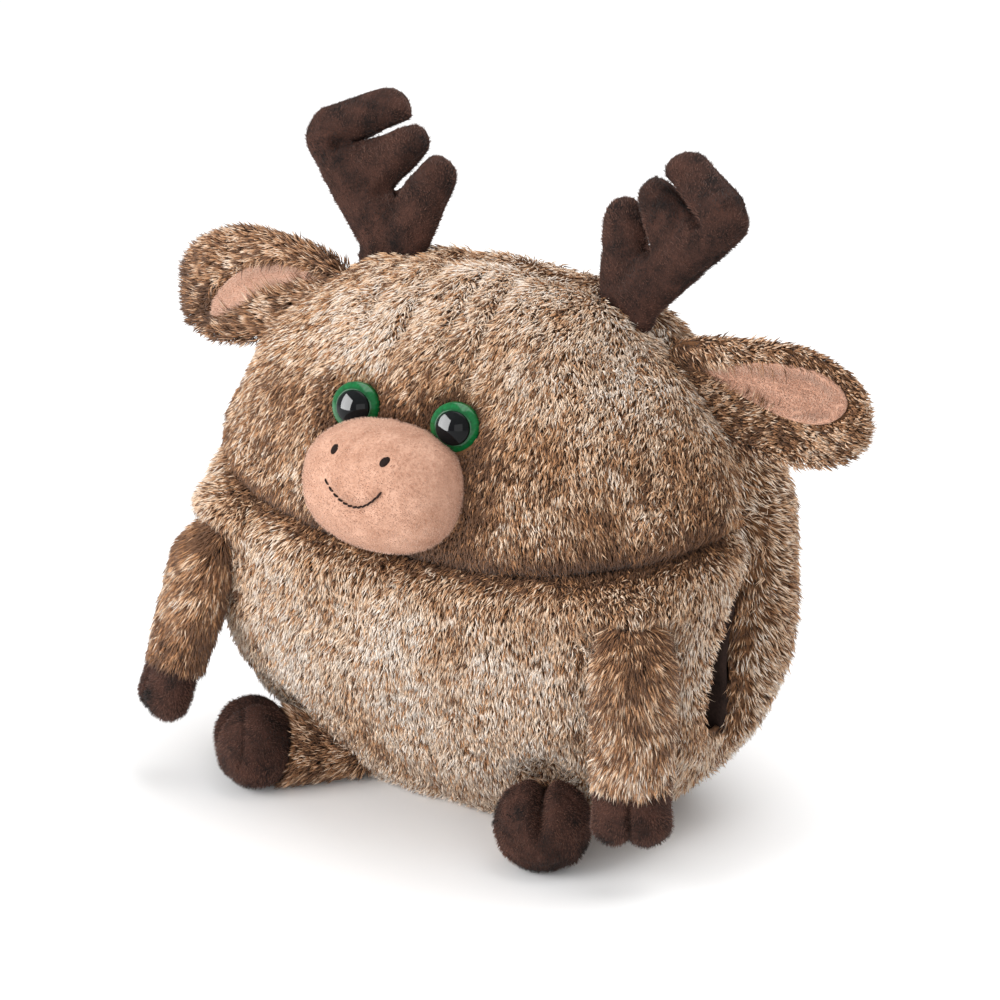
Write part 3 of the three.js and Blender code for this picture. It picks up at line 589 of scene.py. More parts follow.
def bellySpot(u, v):
    flat = underShares["belly"]
    height = np.clip((v - flat) / (1 - flat), 0, 1) * shape["crease"]
    bow = tunnelBow(height + seamRise(height))
    start = np.arcsin(np.clip(bow / shape["frontDepth"], 0, 0.9))
    return lowPanel(np.pi + start + u * (np.pi - 2 * start), v, height, flat)


def backSpot(u, v):
    flat = underShares["back"]
    height = crown * quarterSine(np.clip((v - flat) / (1 - flat), 0, 1))
    return lowPanel(np.pi * u, v, height, flat)


def coverPiece(name, spot, columns, rows, *nodes):
    piece = mappedGrid(name, columns, rows, spot)
    cleanMesh(piece, merge=weld["cover"])
    points, triangles, normals = surfaceOf(piece)
    if ((points - np.array([0, 0, shape["centre"] * mm])) * normals).sum() < 0:
        cleanMesh(piece, flip=True)
    surface = surfaceOf(piece)
    giveWall(piece, shape["cloth"], weld["wall"])
    finishPiece(piece, "body", "long_pile_fur", materials["backing"], *nodes, fill=shape["fill"])
    return surface


faceSkin = coverPiece("face_panel", faceSpot, 110, 60, "face_cover")
bellySkin = coverPiece("belly_panel", bellySpot, 110, 80, "belly_cover", "front_filling")
backSkin = coverPiece("back_panel", backSpot, 110, 110, "back_cover", "rear_filling")
print("body panels made")


# Places on the face that other pieces share
eye = {"x": 28, "shift": 1.6, "z": {"left": 210, "right": 208.3}, "sunk": 3.4, "radius": 11.8, "edge": 2,
       "dome": 5.6, "pupil": 8.0, "rise": 0.9, "back": 2, "lip": 0.6, "lipDepth": 1.2, "chamfer": 0.2,
       "well": 0.8, "reach": 30, "pupilBack": 0.7, "pupilEdge": 0.9, "pupilRound": 0.25}
eyeAxis = {"left": unit([0.36, -0.92, 0.18]), "right": unit([0.28, -0.93, 0.22])}
muzzle = {"aside": -1.6, "shear": 0.12, "halfWidth": 41.5, "halfHeight": 32, "depth": 26.5, "y": -93,
          "z": 178.2, "lean": 0.12, "full": 2.3, "behind": -30, "lump": 1.6, "lumpSize": 16, "fill": 0.85}


def faceFront(x, z):  # the front of the face at a place, in metres
    samples, margin = 600, 0.02
    turns = np.pi + np.linspace(margin, 1 - margin, samples) * np.pi
    points = bodySurface(turns, np.full(samples, float(z)), 0)
    return points[np.argmin(np.abs(points[:, 0] - x * mm))]


def seatOfEye(which, side):
    front = faceFront(side * eye["x"] + eye["shift"], eye["z"][which])
    return front - eyeAxis[which] * eye["sunk"] * mm


eyeSeat = {which: seatOfEye(which, side) for which, side in sides.items()}


def nearEye(points):  # distance from the nearest eye's axis, in mm, far away behind the face
    best = np.full(len(points), farAway)
    for which in sides:
        to = (points - eyeSeat[which]) / mm
        off = np.linalg.norm(to - (to @ eyeAxis[which])[:, None] * eyeAxis[which], axis=1)
        best = np.minimum(best, np.where(to[:, 1] < eye["reach"], off, best))
    return best


def muzzleRatio(points):  # 1 at the muzzle's outline, less inside it, and much more behind the face
    x, y, z = (points / mm).T
    across, up, full = x / muzzle["halfWidth"], (z - muzzle["z"]) / muzzle["halfHeight"], muzzle["full"]
    ratio = (np.abs(across) ** full + np.abs(up) ** full) ** (1 / full)
    return np.where(y < muzzle["behind"], ratio, 9)


# Body fur

parting = {"high": 35, "from": 205, "to": 240, "soft": 15}  # on the crown the pile parts behind the seam
# How the pile lies
nap = {"fan": 250, "fanMost": 0.5, "fore": 0.7, "overFront": 1.1, "overBack": -1.3, "rim": 7}
slitZone = {"below": 4, "aside": 90, "back": 0.2}
# Painted shade and light on the fur: darker in the crease, along the seam, near the crown, at the slit, on
# the cheeks, at the toy's right temple and round the eyes and the muzzle; lighter on the belly
shades = {"crease": {"dark": 0.6, "above": 1, "spread": 9.5},
          "seam": {"dark": 0.14, "spread": 7, "below": 235}, "belly": {"light": 0.12, "z": 80, "spread": 50},
          "crown": {"dark": 0.03, "z": 262, "spread": 20}, "slit": {"dark": 0.2, "spread": 6},
          "cheek": {"dark": 0.19, "z": 176, "spread": 26, "over": 40, "start": 0.4},
          "temple": {"dark": 0.26, "over": 60, "start": 0.5}, "eye": {"dark": 0.4, "far": 12.5, "spread": 9},
          "muzzle": {"dark": 0.32, "spread": 0.28}, "fade": 20}
# Where no pile grows, and where it is trimmed short
bare = {"eye": 12.2, "muzzleShare": 0.88, "under": 4, "underNormal": -0.75, "leg": 12}
trims = {"eye": {"from": 12, "over": 16, "least": 0.5}, "muzzle": {"start": 0.7, "slope": 1.2, "least": 0.6},
         "slit": {"over": 40, "least": 0.7}, "foot": {"from": 23, "over": 14, "least": 0.35}}
legRoot = {"x": 62.9, "y": -48.4, "z": 13}


def downFlow(points, normals):  # the pile falls down, to the front and to the back of its parting
    x, y, z = (points / mm).T
    flow = np.zeros_like(points)
    flow[:, 2] = -1
    flow[:, 0] = np.clip(x / nap["fan"], -nap["fanMost"], nap["fanMost"])
    climb = (z - parting["from"]) / (parting["to"] - parting["from"])
    line = shape["seamY"] + parting["high"] * np.clip(climb, 0, 1)
    flow[:, 1] = nap["fore"] * np.tanh((y - line) / parting["soft"])
    over = np.where(y < shape["seamY"], nap["overFront"], nap["overBack"])
    flow[:, 1] += over * bell(slitFar(points), nap["rim"])
    return flow


def slitFar(points):  # distance from the hand slit's edges along Y, in mm, far away elsewhere
    x, y, z = (points / mm).T
    seam = shape["seamY"]
    beside = ((z > tunnel["bottom"]) & (z < tunnel["top"] - slitZone["below"])
              & (np.abs(x) > slitZone["aside"]))
    edges = np.where(y < seam - slitZone["back"], np.abs(seam - tunnelBow(z) - y), np.abs(y - seam))
    return np.where(beside, edges, farAway)


# Painted shade in the crease, along the seam, near the crown and at the slit, and painted light on the belly
def bodyShade(points):
    x, y, z = (points / mm).T
    creaseHeight = shape["crease"] + shape["creaseRise"] * (x / shape["halfWidth"]) ** 2
    inFront = np.clip(-y / shades["fade"], 0, 1)
    crease, seam, belly, top = (shades[key] for key in ("crease", "seam", "belly", "crown"))
    shade = -crease["dark"] * bell(z - creaseHeight - crease["above"], crease["spread"]) * inFront
    shade -= seam["dark"] * bell(y - shape["seamY"], seam["spread"]) * (z < seam["below"])
    shade += belly["light"] * bell(z - belly["z"], belly["spread"]) * inFront
    shade -= top["dark"] * bell(z - top["z"], top["spread"])
    return shade - shades["slit"]["dark"] * bell(slitFar(points), shades["slit"]["spread"])


def faceShade(points):  # painted shade on the cheeks, at the toy's right temple and round the eyes and the muzzle
    x, y, z = (points / mm).T
    cheek, side, near, edge = (shades[key] for key in ("cheek", "temple", "eye", "muzzle"))
    share = np.clip(x / cheek["over"] + cheek["start"], 0, 1)
    shade = bodyShade(points) - cheek["dark"] * bell(z - cheek["z"], cheek["spread"]) * share
    shade -= side["dark"] * np.clip(-x / side["over"] - side["start"], 0, 1)
    shade -= near["dark"] * bell(nearEye(points) - near["far"], near["spread"])
    return shade - edge["dark"] * bell(muzzleRatio(points) - 1, edge["spread"])


def bodyTrim(points):
    slit, foot = trims["slit"], trims["foot"]
    behind = points[:, 1] > shape["seamY"] * mm
    length = np.where(behind, 1, np.clip(slit["least"] + slitFar(points) / slit["over"], slit["least"], 1))
    for which in sides:  # pressed flat where a lifted hoof touches it
        far = np.linalg.norm(points / mm - np.array(footRoom[which]), axis=1)
        length = length * np.clip(foot["least"] + (far - foot["from"]) / foot["over"], foot["least"], 1)
    return length


def faceTrim(points):
    near, edge = trims["eye"], trims["muzzle"]
    byEye = np.clip(near["least"] + (nearEye(points) - near["from"]) / near["over"], near["least"], 1)
    return byEye * np.clip(edge["start"] + (muzzleRatio(points) - 1) * edge["slope"], edge["least"], 1)


def faceKeep(points, normals):
    return (nearEye(points) > bare["eye"]) & (muzzleRatio(points) > bare["muzzleShare"])


def lowKeep(points, normals):
    free = (points[:, 2] > bare["under"] * mm) | (normals[:, 2] > bare["underNormal"])
    for side in sides.values():
        root = np.array([side * legRoot["x"], legRoot["y"], legRoot["z"]]) * mm
        free &= np.linalg.norm(points - root, axis=1) > bare["leg"] * mm
    return free


for name, skin, count, coats, keep, shade, trim, seed in (
        ("face_fur", faceSkin, 72000, 3, faceKeep, faceShade, faceTrim, 101),
        ("belly_fur", bellySkin, 75000, 3, lowKeep, bodyShade, bodyTrim, 301),
        ("back_fur", backSkin, 60000, 2, lowKeep, bodyShade, bodyTrim, 501)):
    growCoats(name, skin, count, coats, longFur, downFlow, "body", materials["fur"], "long_pile_fur",
              keep=keep, shade=shade, trim=trim, seed=seed)


# Hand tunnel

# The flat size is in metres
lining = {"thickness": 1.2, "inset": 3, "shorter": 10, "behindSeam": 0.8, "flat": (0.285, 0.203)}


def liningSpot(u, v):
    turn = 2 * np.pi * u  # once round the slit's section
    middle, tall = (tunnel["top"] + tunnel["bottom"]) / 2, tunnel["top"] - tunnel["bottom"]
    z = middle - lining["inset"] + (tall - lining["shorter"]) / 2 * np.cos(turn)
    bow = tunnelBow(z) * (tunnel["inside"] + (1 - tunnel["inside"]) * np.abs(2 * v - 1) ** tunnel["flare"])
    rear = shape["seamY"] - lining["behindSeam"]
    y = np.where(np.sin(turn) > 0, rear, rear - bow)
    height = z.copy()
    for _ in range(8):  # finds the ring whose seam is at this height
        height = z - seamRise(height)
    fore = np.clip((y - shape["seamY"]) / shape["frontDepth"], -0.9, 0)
    end = bodySurface(-np.arcsin(-fore) % (2 * np.pi), height, shape["pile"])[:, 0] / mm
    return np.stack([end * (2 * v - 1), y, z], -1) * mm


liningPiece = mappedGrid("hand_tunnel_lining_cloth", 72, 60, liningSpot)
cleanMesh(liningPiece)
giveWall(liningPiece, lining["thickness"], weld["fine"])
finishPiece(liningPiece, "body", "dark_lining", materials["lining"], "hand_tunnel_lining")
print("tunnel made")


# Muzzle

smile = {"z": 175.8, "x": -1, "rise": 10.4, "half": 16.5, "from": -17.5, "to": 15.5, "stitches": 12,
         "gap": 0.1, "points": 6, "tilt": 0.3, "lift": 0.5, "out": 0.8, "thread": 0.52, "dent": 1.3,
         "dentSpread": 2.2, "dentHalf": 19, "clear": 1.6, "clearHalf": 18}
nostril = {"x": 14.6, "z": 200, "rows": 9, "step": 0.43, "half": 2.9, "tall": 1.95, "narrowest": 0.12,
           "points": 7, "slant": 0.3, "sunk": 1.4, "dome": 1.5, "thread": 0.36, "dent": 1.2,
           "dentSpread": 4.5, "clear": 3.6}
# The tuck above the nostrils
tuck = {"deep": 2.6, "x": -1, "slant": 0.5, "top": 30, "spread": 1.5, "from": 19, "over": 8}
muzzleFade = 10
muzzleNap = dict(shortFur, length=1.4, lean=0.35)
napFront = -78


def smileHeight(x):
    return smile["z"] + smile["rise"] * ((x - smile["x"]) / smile["half"]) ** 2


def power(value):
    return np.sign(value) * np.abs(value) ** (2 / muzzle["full"])


def muzzleSpot(ball):
    m = muzzle
    rise = np.arcsin(np.clip(ball[:, 2], -1, 1))
    turn = np.arctan2(ball[:, 1], ball[:, 0])
    y = m["depth"] * power(np.cos(rise) * np.sin(turn))
    z = m["halfHeight"] * power(ball[:, 2])
    x = m["halfWidth"] * power(np.cos(rise) * np.cos(turn)) + m["shear"] * z
    high = z + m["z"]
    inFront = np.clip(-y / muzzleFade, 0, 1)
    line = bell(high - smileHeight(x + m["aside"]), smile["dentSpread"]) * (np.abs(x) < smile["dentHalf"])
    dent = smile["dent"] * line * inFront
    for side in sides.values():
        far = np.hypot(x - side * nostril["x"], high - nostril["z"])
        dent = dent + nostril["dent"] * bell(far, nostril["dentSpread"]) * inFront
    fold = bell(x - tuck["x"] + tuck["slant"] * (tuck["top"] - z), tuck["spread"])
    dent = dent + tuck["deep"] * fold * np.clip((z - tuck["from"]) / tuck["over"], 0, 1)
    p = np.stack([x + m["aside"], m["y"] + y - m["lean"] * z, high], -1)
    p[:, 1] += dent + m["lump"] * (softNoise(p, m["lumpSize"], 9) - 0.5)
    return p * mm


def muzzleFront(x, z):  # the muzzle's front at a place, in mm
    m = muzzle
    up = z - m["z"]
    x = x - m["aside"] - m["shear"] * up
    left = 1 - np.abs(x / m["halfWidth"]) ** m["full"] - np.abs(up / m["halfHeight"]) ** m["full"]
    return m["y"] - m["depth"] * np.maximum(0, left) ** (1 / m["full"]) - m["lean"] * up


def muzzleKeep(points, normals):  # the nap stays off the stitches
    x, y, z = (points / mm).T
    free = (np.abs(z - smileHeight(x)) > smile["clear"]) | (np.abs(x) > smile["clearHalf"])
    for side in sides.values():
        free &= np.hypot(x - side * nostril["x"], z - nostril["z"]) > nostril["clear"]
    return free & (y < napFront)


muzzlePiece = mappedBall("muzzle_plush", 72, 44, muzzleSpot)
muzzleSkin = surfaceOf(muzzlePiece)
finishPiece(muzzlePiece, "body", "peach_plush", materials["peach"], "muzzle", fill=muzzle["fill"])
growFur("muzzle_nap", muzzleSkin, 16000, muzzleNap, downFlow, "body", materials["peachNap"], "peach_plush",
        keep=muzzleKeep, seed=701, bent=False)


# Stitches

threadMaterial = newMaterial("stitchThread", 0.7, Specular_IOR_Level=0.15, Base_Color=linear(30, 17, 13))[0]
threadEnd = 0.45  # how thin a thread is where it goes into the cloth


def threadPiece(name, rows, radius, solid):  # each row of points becomes a round thread
    made = []
    for points in rows:
        curve = bpy.data.curves.new(name, "CURVE")
        curve.dimensions = "3D"
        curve.bevel_depth, curve.bevel_resolution, curve.use_fill_caps = radius * mm, 2, True
        spline = curve.splines.new("POLY")
        spline.points.add(len(points) - 1)
        for k, p in enumerate(points):
            spline.points[k].co = (*(np.asarray(p) * mm), 1)
            spline.points[k].radius = 1 if 0 < k < len(points) - 1 else threadEnd
        thread = bpy.data.objects.new(name, curve)
        bpy.context.scene.collection.objects.link(thread)
        made.append(thread)
    pick(*made)
    bpy.ops.object.convert(target="MESH")
    bpy.ops.object.join()
    piece = bpy.context.object
    rename(piece, name)
    cleanMesh(piece, merge=weld["finest"])
    finishPiece(piece, "body", "embroidery_thread", threadMaterial, solid)


def smileStitch(start, end):  # one slanting stitch, which arches up between its ends
    s, row = smile, []
    lift = np.sin(np.linspace(0, np.pi, s["points"])) * s["lift"] + s["lift"]
    slant = np.linspace(-s["tilt"], s["tilt"], s["points"])
    for x, up, tilt in zip(np.linspace(start + s["gap"], end - s["gap"], s["points"]), lift, slant):
        row.append((x, muzzleFront(x, smileHeight(x)) + s["out"] - up, smileHeight(x) + tilt))
    return row


def nostrilRow(side, k):  # satin stitches lie side by side, longest in the middle
    n = nostril
    up = (k - (n["rows"] - 1) / 2) * n["step"]
    half = n["half"] * math.sqrt(max(n["narrowest"], 1 - (up / n["tall"]) ** 2))
    row = []
    for x in np.linspace(-half, half, n["points"]):
        dome = n["dome"] * math.sqrt(max(0, 1 - (x / half) ** 2))
        y = muzzleFront(side * n["x"] + x, n["z"] + up) + n["sunk"] - dome
        row.append((side * n["x"] + x, y, n["z"] + up + n["slant"] * x))
    return row


ends = np.linspace(smile["from"], smile["to"], smile["stitches"] + 1)
threadPiece("smile_thread", [smileStitch(*pair) for pair in zip(ends, ends[1:])], smile["thread"],
            "smile_stitch")
for which, side in sides.items():
    rows = [nostrilRow(side, k) for k in range(nostril["rows"])]
    threadPiece(which + "_nostril_thread", rows, nostril["thread"], which + "_nostril")
print("stitches made")


# Eyes

streaks = {"scale": (60, 7, 1), "detail": 4, "roughness": 0.65, "dark": 0.5, "from": 0.3, "to": 0.62}


def glossMaterial(name, stops, roughness, shine):  # rings of colour from the middle out, with fine streaks
    material, tree, shader = newMaterial(name, roughness, Specular_IOR_Level=shine)
    whole, _, outwards = ownMap(tree)
    stretch = node(tree, "ShaderNodeMapping", Scale=streaks["scale"])
    noise = node(tree, "ShaderNodeTexNoise", Scale=1, Detail=streaks["detail"],
                 Roughness=streaks["roughness"])
    tree.links.new(whole, stretch.inputs["Vector"])
    tree.links.new(stretch.outputs["Vector"], noise.inputs["Vector"])
    dark, light = (streaks["dark"],) * 3 + (1,), (1, 1, 1, 1)
    shade = rampOf(tree, [(streaks["from"], dark), (streaks["to"], light)], noise.outputs["Fac"])
    colour = mixColours(tree, 1.0, rampOf(tree, stops, outwards), shade, "MULTIPLY")
    tree.links.new(colour, shader.inputs["Base Color"])
    return material


greenStops = stopsOf((0.0, (4, 60, 30)), (0.4, (90, 172, 122)), (0.44, (4, 94, 46)), (0.62, (5, 98, 48)),
                     (0.7, (3, 66, 32)), (1.0, (3, 46, 24)))
greenPlastic = glossMaterial("greenEyePlastic", greenStops, 0.12, 0.4)
blackPlastic = glossMaterial("blackEyePlastic", stopsOf((0.0, (12, 14, 14)), (1.0, (3, 3, 4))), 0.04, 0.15)


def turnedPiece(name, profile, origin, axes):  # spins a profile of radius and height round the last axis
    profile = np.array(profile, float)
    steps = np.concatenate([[0], np.cumsum(np.linalg.norm(np.diff(profile, axis=0), axis=1))])
    steps = steps / steps[-1]

    def spot(u, v):
        radius, height = np.interp(v, steps, profile[:, 0]), np.interp(v, steps, profile[:, 1])
        turn = 2 * np.pi * u
        local = np.stack([radius * np.cos(turn), radius * np.sin(turn), height], -1) * mm
        return origin + local @ axes.T

    piece = mappedGrid(name, 64, 48, spot)
    cleanMesh(piece, merge=weld["fine"])
    return piece


def domeHeight(radius):
    ball = (eye["radius"] ** 2 + eye["dome"] ** 2) / (2 * eye["dome"])
    return eye["edge"] + math.sqrt(ball ** 2 - radius ** 2) - (ball - eye["dome"])


def makeEye(which):
    e, seat, axes = eye, eyeSeat[which], frameAlong(eyeAxis[which], (1, 0, 0))
    well = domeHeight(e["pupil"]) - e["well"]
    dome = [(0, -e["back"]), (e["radius"] - e["lip"], -e["back"]), (e["radius"], -e["lipDepth"])]
    dome += [(r, domeHeight(r)) for r in np.linspace(e["radius"], e["pupil"] + e["chamfer"], 14)]
    rim = turnedPiece(which + "_eye_iris", dome + [(e["pupil"], well), (0, well)], seat, axes)
    finishPiece(rim, "body", "green_eye_plastic", greenPlastic, which + "_eye_rim")
    low = domeHeight(e["pupil"]) - e["pupilBack"]
    cap = [(0, low), (e["pupil"], low), (e["pupil"], low + e["pupilEdge"])]
    for r in np.linspace(e["pupil"] - e["pupilRound"], 0, 16):
        cap.append((r, domeHeight(r) + e["rise"] * math.cos(r / e["pupil"] * math.pi / 2) + e["pupilRound"]))
    pupil = turnedPiece(which + "_eye_black", cap, seat, axes)
    finishPiece(pupil, "body", "black_eye_plastic", blackPlastic, which + "_eye_pupil")


for which in sides:
    makeEye(which)
print("eyes made")


# Ears

ear = {"x": 113, "z": 223, "y": 4, "length": 88, "buried": 26, "halfWidth": 32, "thickness": 9, "full": 2.8,
       "narrow": 0.2, "narrowOver": 50, "back": 0.02, "droop": -0.02, "rise": 3.5, "curl": 7,
       "tipBack": 0.0018, "sag": {"left": 0, "right": 0.0022}, "pile": 4.5, "fill": 0.6, "blendIn": 4,
       "blendOut": 22, "shade": {"left": -0.28, "right": -0.33}, "rimShade": 0.1, "rimSpread": 0.3,
       "rimTrim": 0.55, "toCup": {"left": 0.1, "right": -0.25}, "toMiddle": 0.1}
# The sizes and areas of the cut linings are in metres and square metres, and 'tone' is painted light on the
# lining's nap
cup = {"half": {"left": 37, "right": 33}, "at": {"left": 39, "right": 31}, "width": {"left": 15, "right": 11},
       "up": {"left": 10, "right": 11}, "fall": {"left": 0, "right": 0.0045}, "hollow": 4.2,
       "hollowSpread": 0.8, "narrow": 0.3, "widenOver": 60, "widths": (0.2, 1.1), "edge": 1.06, "clear": 1.05,
       "thickness": 1.5, "tipLeft": 3, "sunk": 3.2, "proud": 0.8, "tone": 0.3,
       "cut": {"left": ((0.082, 0.028), 0.00168), "right": ((0.073, 0.022), 0.00108)}}
earFur = dict(longFur, length=7.5, lean=0.95)
earRoot = np.array([ear["x"], ear["y"], ear["z"]]) * mm
earAlong = unit([1, ear["back"], ear["droop"]])
earBack = unit(np.cross([0, 0, 1], earAlong))
earUp = np.cross(earAlong, earBack)


def cupLine(which, along):  # the height of the lining's middle line
    return cup["up"][which] - cup["fall"][which] * along ** 2


def cupWidth(which, along):
    share = cup["narrow"] + (1 - cup["narrow"]) * along / cup["widenOver"]
    return cup["width"][which] * np.clip(share, *cup["widths"])


def cupFar(which, along, up):  # 1 at the lining's outline, less inside it
    return np.hypot((along - cup["at"][which]) / cup["half"][which],
                    (up - cupLine(which, along)) / cupWidth(which, along))


def earSpot(which, along, up, back):  # the ear bends back at its edges, and its tip sags
    hollow = cup["hollow"] * bell(cupFar(which, along, up), cup["hollowSpread"])
    back = back + np.where(back < 0, hollow, 0) - ear["curl"] * ((up - ear["rise"]) / ear["halfWidth"]) ** 2
    back = back + ear["tipBack"] * np.maximum(0, along) ** 1.5
    up = up - ear["sag"][which] * np.maximum(0, along) ** 2
    return earRoot + (along[..., None] * earAlong + up[..., None] * earUp + back[..., None] * earBack) * mm


def earHalf(along):  # half of the ear's width at a place along it, as a share
    middle, half = (ear["length"] - ear["buried"]) / 2, (ear["length"] + ear["buried"]) / 2
    rise = np.clip((along - middle) / half, -1, 1)
    taper = 1 - ear["narrow"] + ear["narrow"] * np.clip(along / ear["narrowOver"], 0, 1)
    return (1 - np.abs(rise) ** ear["full"]) ** (1 / ear["full"]) * taper


def earShell(which, ball, endShare=0.7):
    under = ear["pile"]
    middle, half = (ear["length"] - ear["buried"]) / 2, (ear["length"] + ear["buried"]) / 2 - under * endShare
    turn = roundParts(ball)[1]
    along = middle + half * ball[:, 2]
    wide = earHalf((along - middle) * (half + under * endShare) / half + middle)
    up = ear["rise"] + (ear["halfWidth"] - under) * wide * turn[:, 0]
    return earSpot(which, along, up, (ear["thickness"] - under) * wide * turn[:, 1])


def earInside(which, u, v):
    turn, far = 2 * np.pi * u, v * cup["edge"]
    along = cup["at"][which] + cup["half"][which] * far * np.cos(turn)
    up = cupLine(which, along) + cupWidth(which, along) * far * np.sin(turn)
    wide = earHalf(np.minimum(along, ear["length"] - cup["tipLeft"]))
    edge = np.clip((up - ear["rise"]) / (ear["halfWidth"] * wide), -0.95, 0.95)
    back = -(ear["thickness"] - cup["sunk"]) * wide * np.sqrt(1 - edge ** 2) - cup["proud"]
    return earSpot(which, along, up, back)


def makeEar(which, side):
    def flip(co):
        return co if side > 0 else mirrorX(co)

    def onEar(points):  # along, up and back of each point, and how far it is from the lining
        q = (flip(points) - earRoot) / mm
        along = q @ earAlong
        up = q @ earUp + ear["sag"][which] * np.maximum(0, along) ** 2
        return along, up, q @ earBack, cupFar(which, along, up)

    def keep(points, normals):
        return ~((onEar(points)[3] < cup["clear"]) & (flip(normals) @ earBack < -0.2))

    def flow(points, normals):
        along, up, back, far = onEar(points)
        towards = -np.sign(up - cupLine(which, along))[:, None] * flip(earUp)
        return flip(earAlong) + towards * np.where(back < 0, ear["toCup"][which], ear["toMiddle"])[:, None]

    # Painted shade over the whole ear, and more on its front beside the lining
    def shade(points):
        along, up, back, far = onEar(points)
        return ear["shade"][which] - ear["rimShade"] * bell(far - 1, ear["rimSpread"]) * (back < 0)

    def trim(points):
        return np.clip(ear["rimTrim"] + onEar(points)[3] - cup["clear"], ear["rimTrim"], 1)

    # Painted light: the lining's nap is drawn lighter all over
    def linerPaintedLight(points):
        return np.full(len(points), cup["tone"])

    joint = jointAt(which + "_ear", flip(earRoot), flip(earAlong), ear["blendIn"], ear["blendOut"])
    shell = mappedBall(which + "_ear_plush", 56, 40, lambda ball: flip(earShell(which, ball)))
    skin = surfaceOf(shell)
    finishPiece(shell, joint, "long_pile_fur", materials["backing"], which + "_ear_shell", fill=ear["fill"])
    growFur(which + "_ear_fur", skin, 14000, earFur, flow, joint, materials["darkFur"], "long_pile_fur",
            keep=keep, shade=shade, trim=trim, seed=811)
    liner = mappedGrid(which + "_ear_inside", 64, 22, lambda u, v: flip(earInside(which, u, v)))
    cleanMesh(liner)
    if (surfaceOf(liner)[2] @ flip(earBack)).sum() > 0:
        cleanMesh(liner, flip=True)
    linerSkin = surfaceOf(liner)
    giveWall(liner, cup["thickness"], weld["finest"])
    finishPiece(liner, joint, "peach_plush", materials["peach"], which + "_ear_lining")
    growFur(which + "_ear_nap", linerSkin, 5000, shortFur, flow, joint, materials["peachNap"], "peach_plush",
            shade=linerPaintedLight, seed=841, bent=False)


for which, side in sides.items():
    makeEar(which, side)
print("ears made")


# Antlers

# Tines are capsules in the palm's plane: start, end, and a radius at each. Gaps are cut between them.
antler = {"x": 67.7, "y": 4, "z": 256.5, "tilt": -0.16, "lean": 0.4, "flat": 0.76, "voxel": 1.5,
          "fineVoxel": 1.2,
          "tines": (((6, 4), (45.5, 46), 14, 14), ((-3, 4), (-12, 36.5), 14, 11.2),
                    ((25, 27), (6.5, 48.5), 14.8, 12.4), ((42.8, 47.5), (20.5, 62), 15.2, 12.4),
                    ((-9, -6), (9, -6), 9, 9)),
          "gaps": (((-4, 67), (34, 44.4), 4.4), ((-17, 61), (8, 27), 4.0)), "cutterWidth": 60,
          "cutterOuter": 1.6, "cutterInner": 0.5, "smooth": 0.5, "smoothTimes": 3, "creaseShare": 0.5,
          "creaseSpread": 3.2, "creaseOver": 1.12, "seamDepth": 0.9, "seamSpread": 1.1, "seamFrom": 2,
          "wave": 1.3, "waveSize": 11, "smallWave": 0.9, "smallWaveSize": 6, "fill": 0.9, "blendIn": 4,
          "blendOut": 12}
antlerNap = dict(shortFur, length=1.9, lean=0.9)
# Painted sheen and the nap's own patches: how strong and how wide the lighter and darker patches are
napSheen = {"wide": 1.5, "wideSize": 15, "fine": 0.9, "fineSize": 5}
antlerUp = unit([0, antler["lean"], 1])
antlerTilt = np.array([1, antler["tilt"], 0])
antlerOut = unit(antlerTilt - antlerUp * (antlerUp @ antlerTilt))
antlerBack = np.cross(antlerUp, antlerOut)
antlerBase = np.array([antler["x"], antler["y"], antler["z"]])


def napSheenPatches(points):  # random patches of the short nap, lighter and darker: nap brushed different ways, with painted sheen where it catches the light
    wide = napSheen["wide"] * (softNoise(points, napSheen["wideSize"] * mm, 43) - 0.5)
    return wide + napSheen["fine"] * (softNoise(points, napSheen["fineSize"] * mm, 44) - 0.5)


def steadyFlow(way):  # the pile lies the same way everywhere
    return lambda points, normals: np.tile(way, (len(points), 1))


def palm(out, up):  # a place on the toy's left antler, in mm
    return antlerBase + out * antlerOut + up * antlerUp


def tinePiece(start, end, startRadius, endRadius):
    a, b = palm(*start), palm(*end)
    axes = frameAlong(b - a, antlerBack)

    def spot(ball):
        upper = ball[:, 2] >= 0
        local = ball * np.where(upper, endRadius, startRadius)[:, None]
        local[:, 2] += np.where(upper, np.linalg.norm(b - a), 0)
        local[:, 0] *= antler["flat"]
        return (a + local @ axes.T) * mm

    return mappedBall("tine", 24, 16, spot)


def cutGap(piece, start, end, thick):  # cuts a wedge between two tines, thinner at its inner end
    a, b = palm(*start), palm(*end)
    length = np.linalg.norm(b - a)
    deselect()
    bpy.ops.mesh.primitive_cube_add(size=1)
    cutter = bpy.context.object
    corners = coordsOf(cutter)
    box = corners * np.array([antler["cutterWidth"], thick, length]) + np.array([0, 0, length / 2])
    box[:, 1] *= np.where(corners[:, 2] < 0, antler["cutterOuter"], antler["cutterInner"])
    setCoords(cutter, (a + box @ frameAlong(b - a, antlerBack).T) * mm)
    addModifier(piece, "BOOLEAN", object=cutter, operation="DIFFERENCE", solver="EXACT")
    bpy.data.objects.remove(cutter)


def remesh(piece, voxel):
    pick(piece)
    piece.data.remesh_voxel_size = voxel * mm
    bpy.ops.object.voxel_remesh()


def gapFar(q):  # distance from the nearest crease between tines, in the palm's plane, in mm
    best = np.full(len(q), farAway)
    for start, end, _ in antler["gaps"]:
        a, b = np.array(start, float), np.array(end, float)
        t = np.clip(((q - a) @ (b - a)) / ((b - a) @ (b - a)), 0, antler["creaseOver"])
        best = np.minimum(best, np.linalg.norm(q - a - t[:, None] * (b - a), axis=1))
    return best


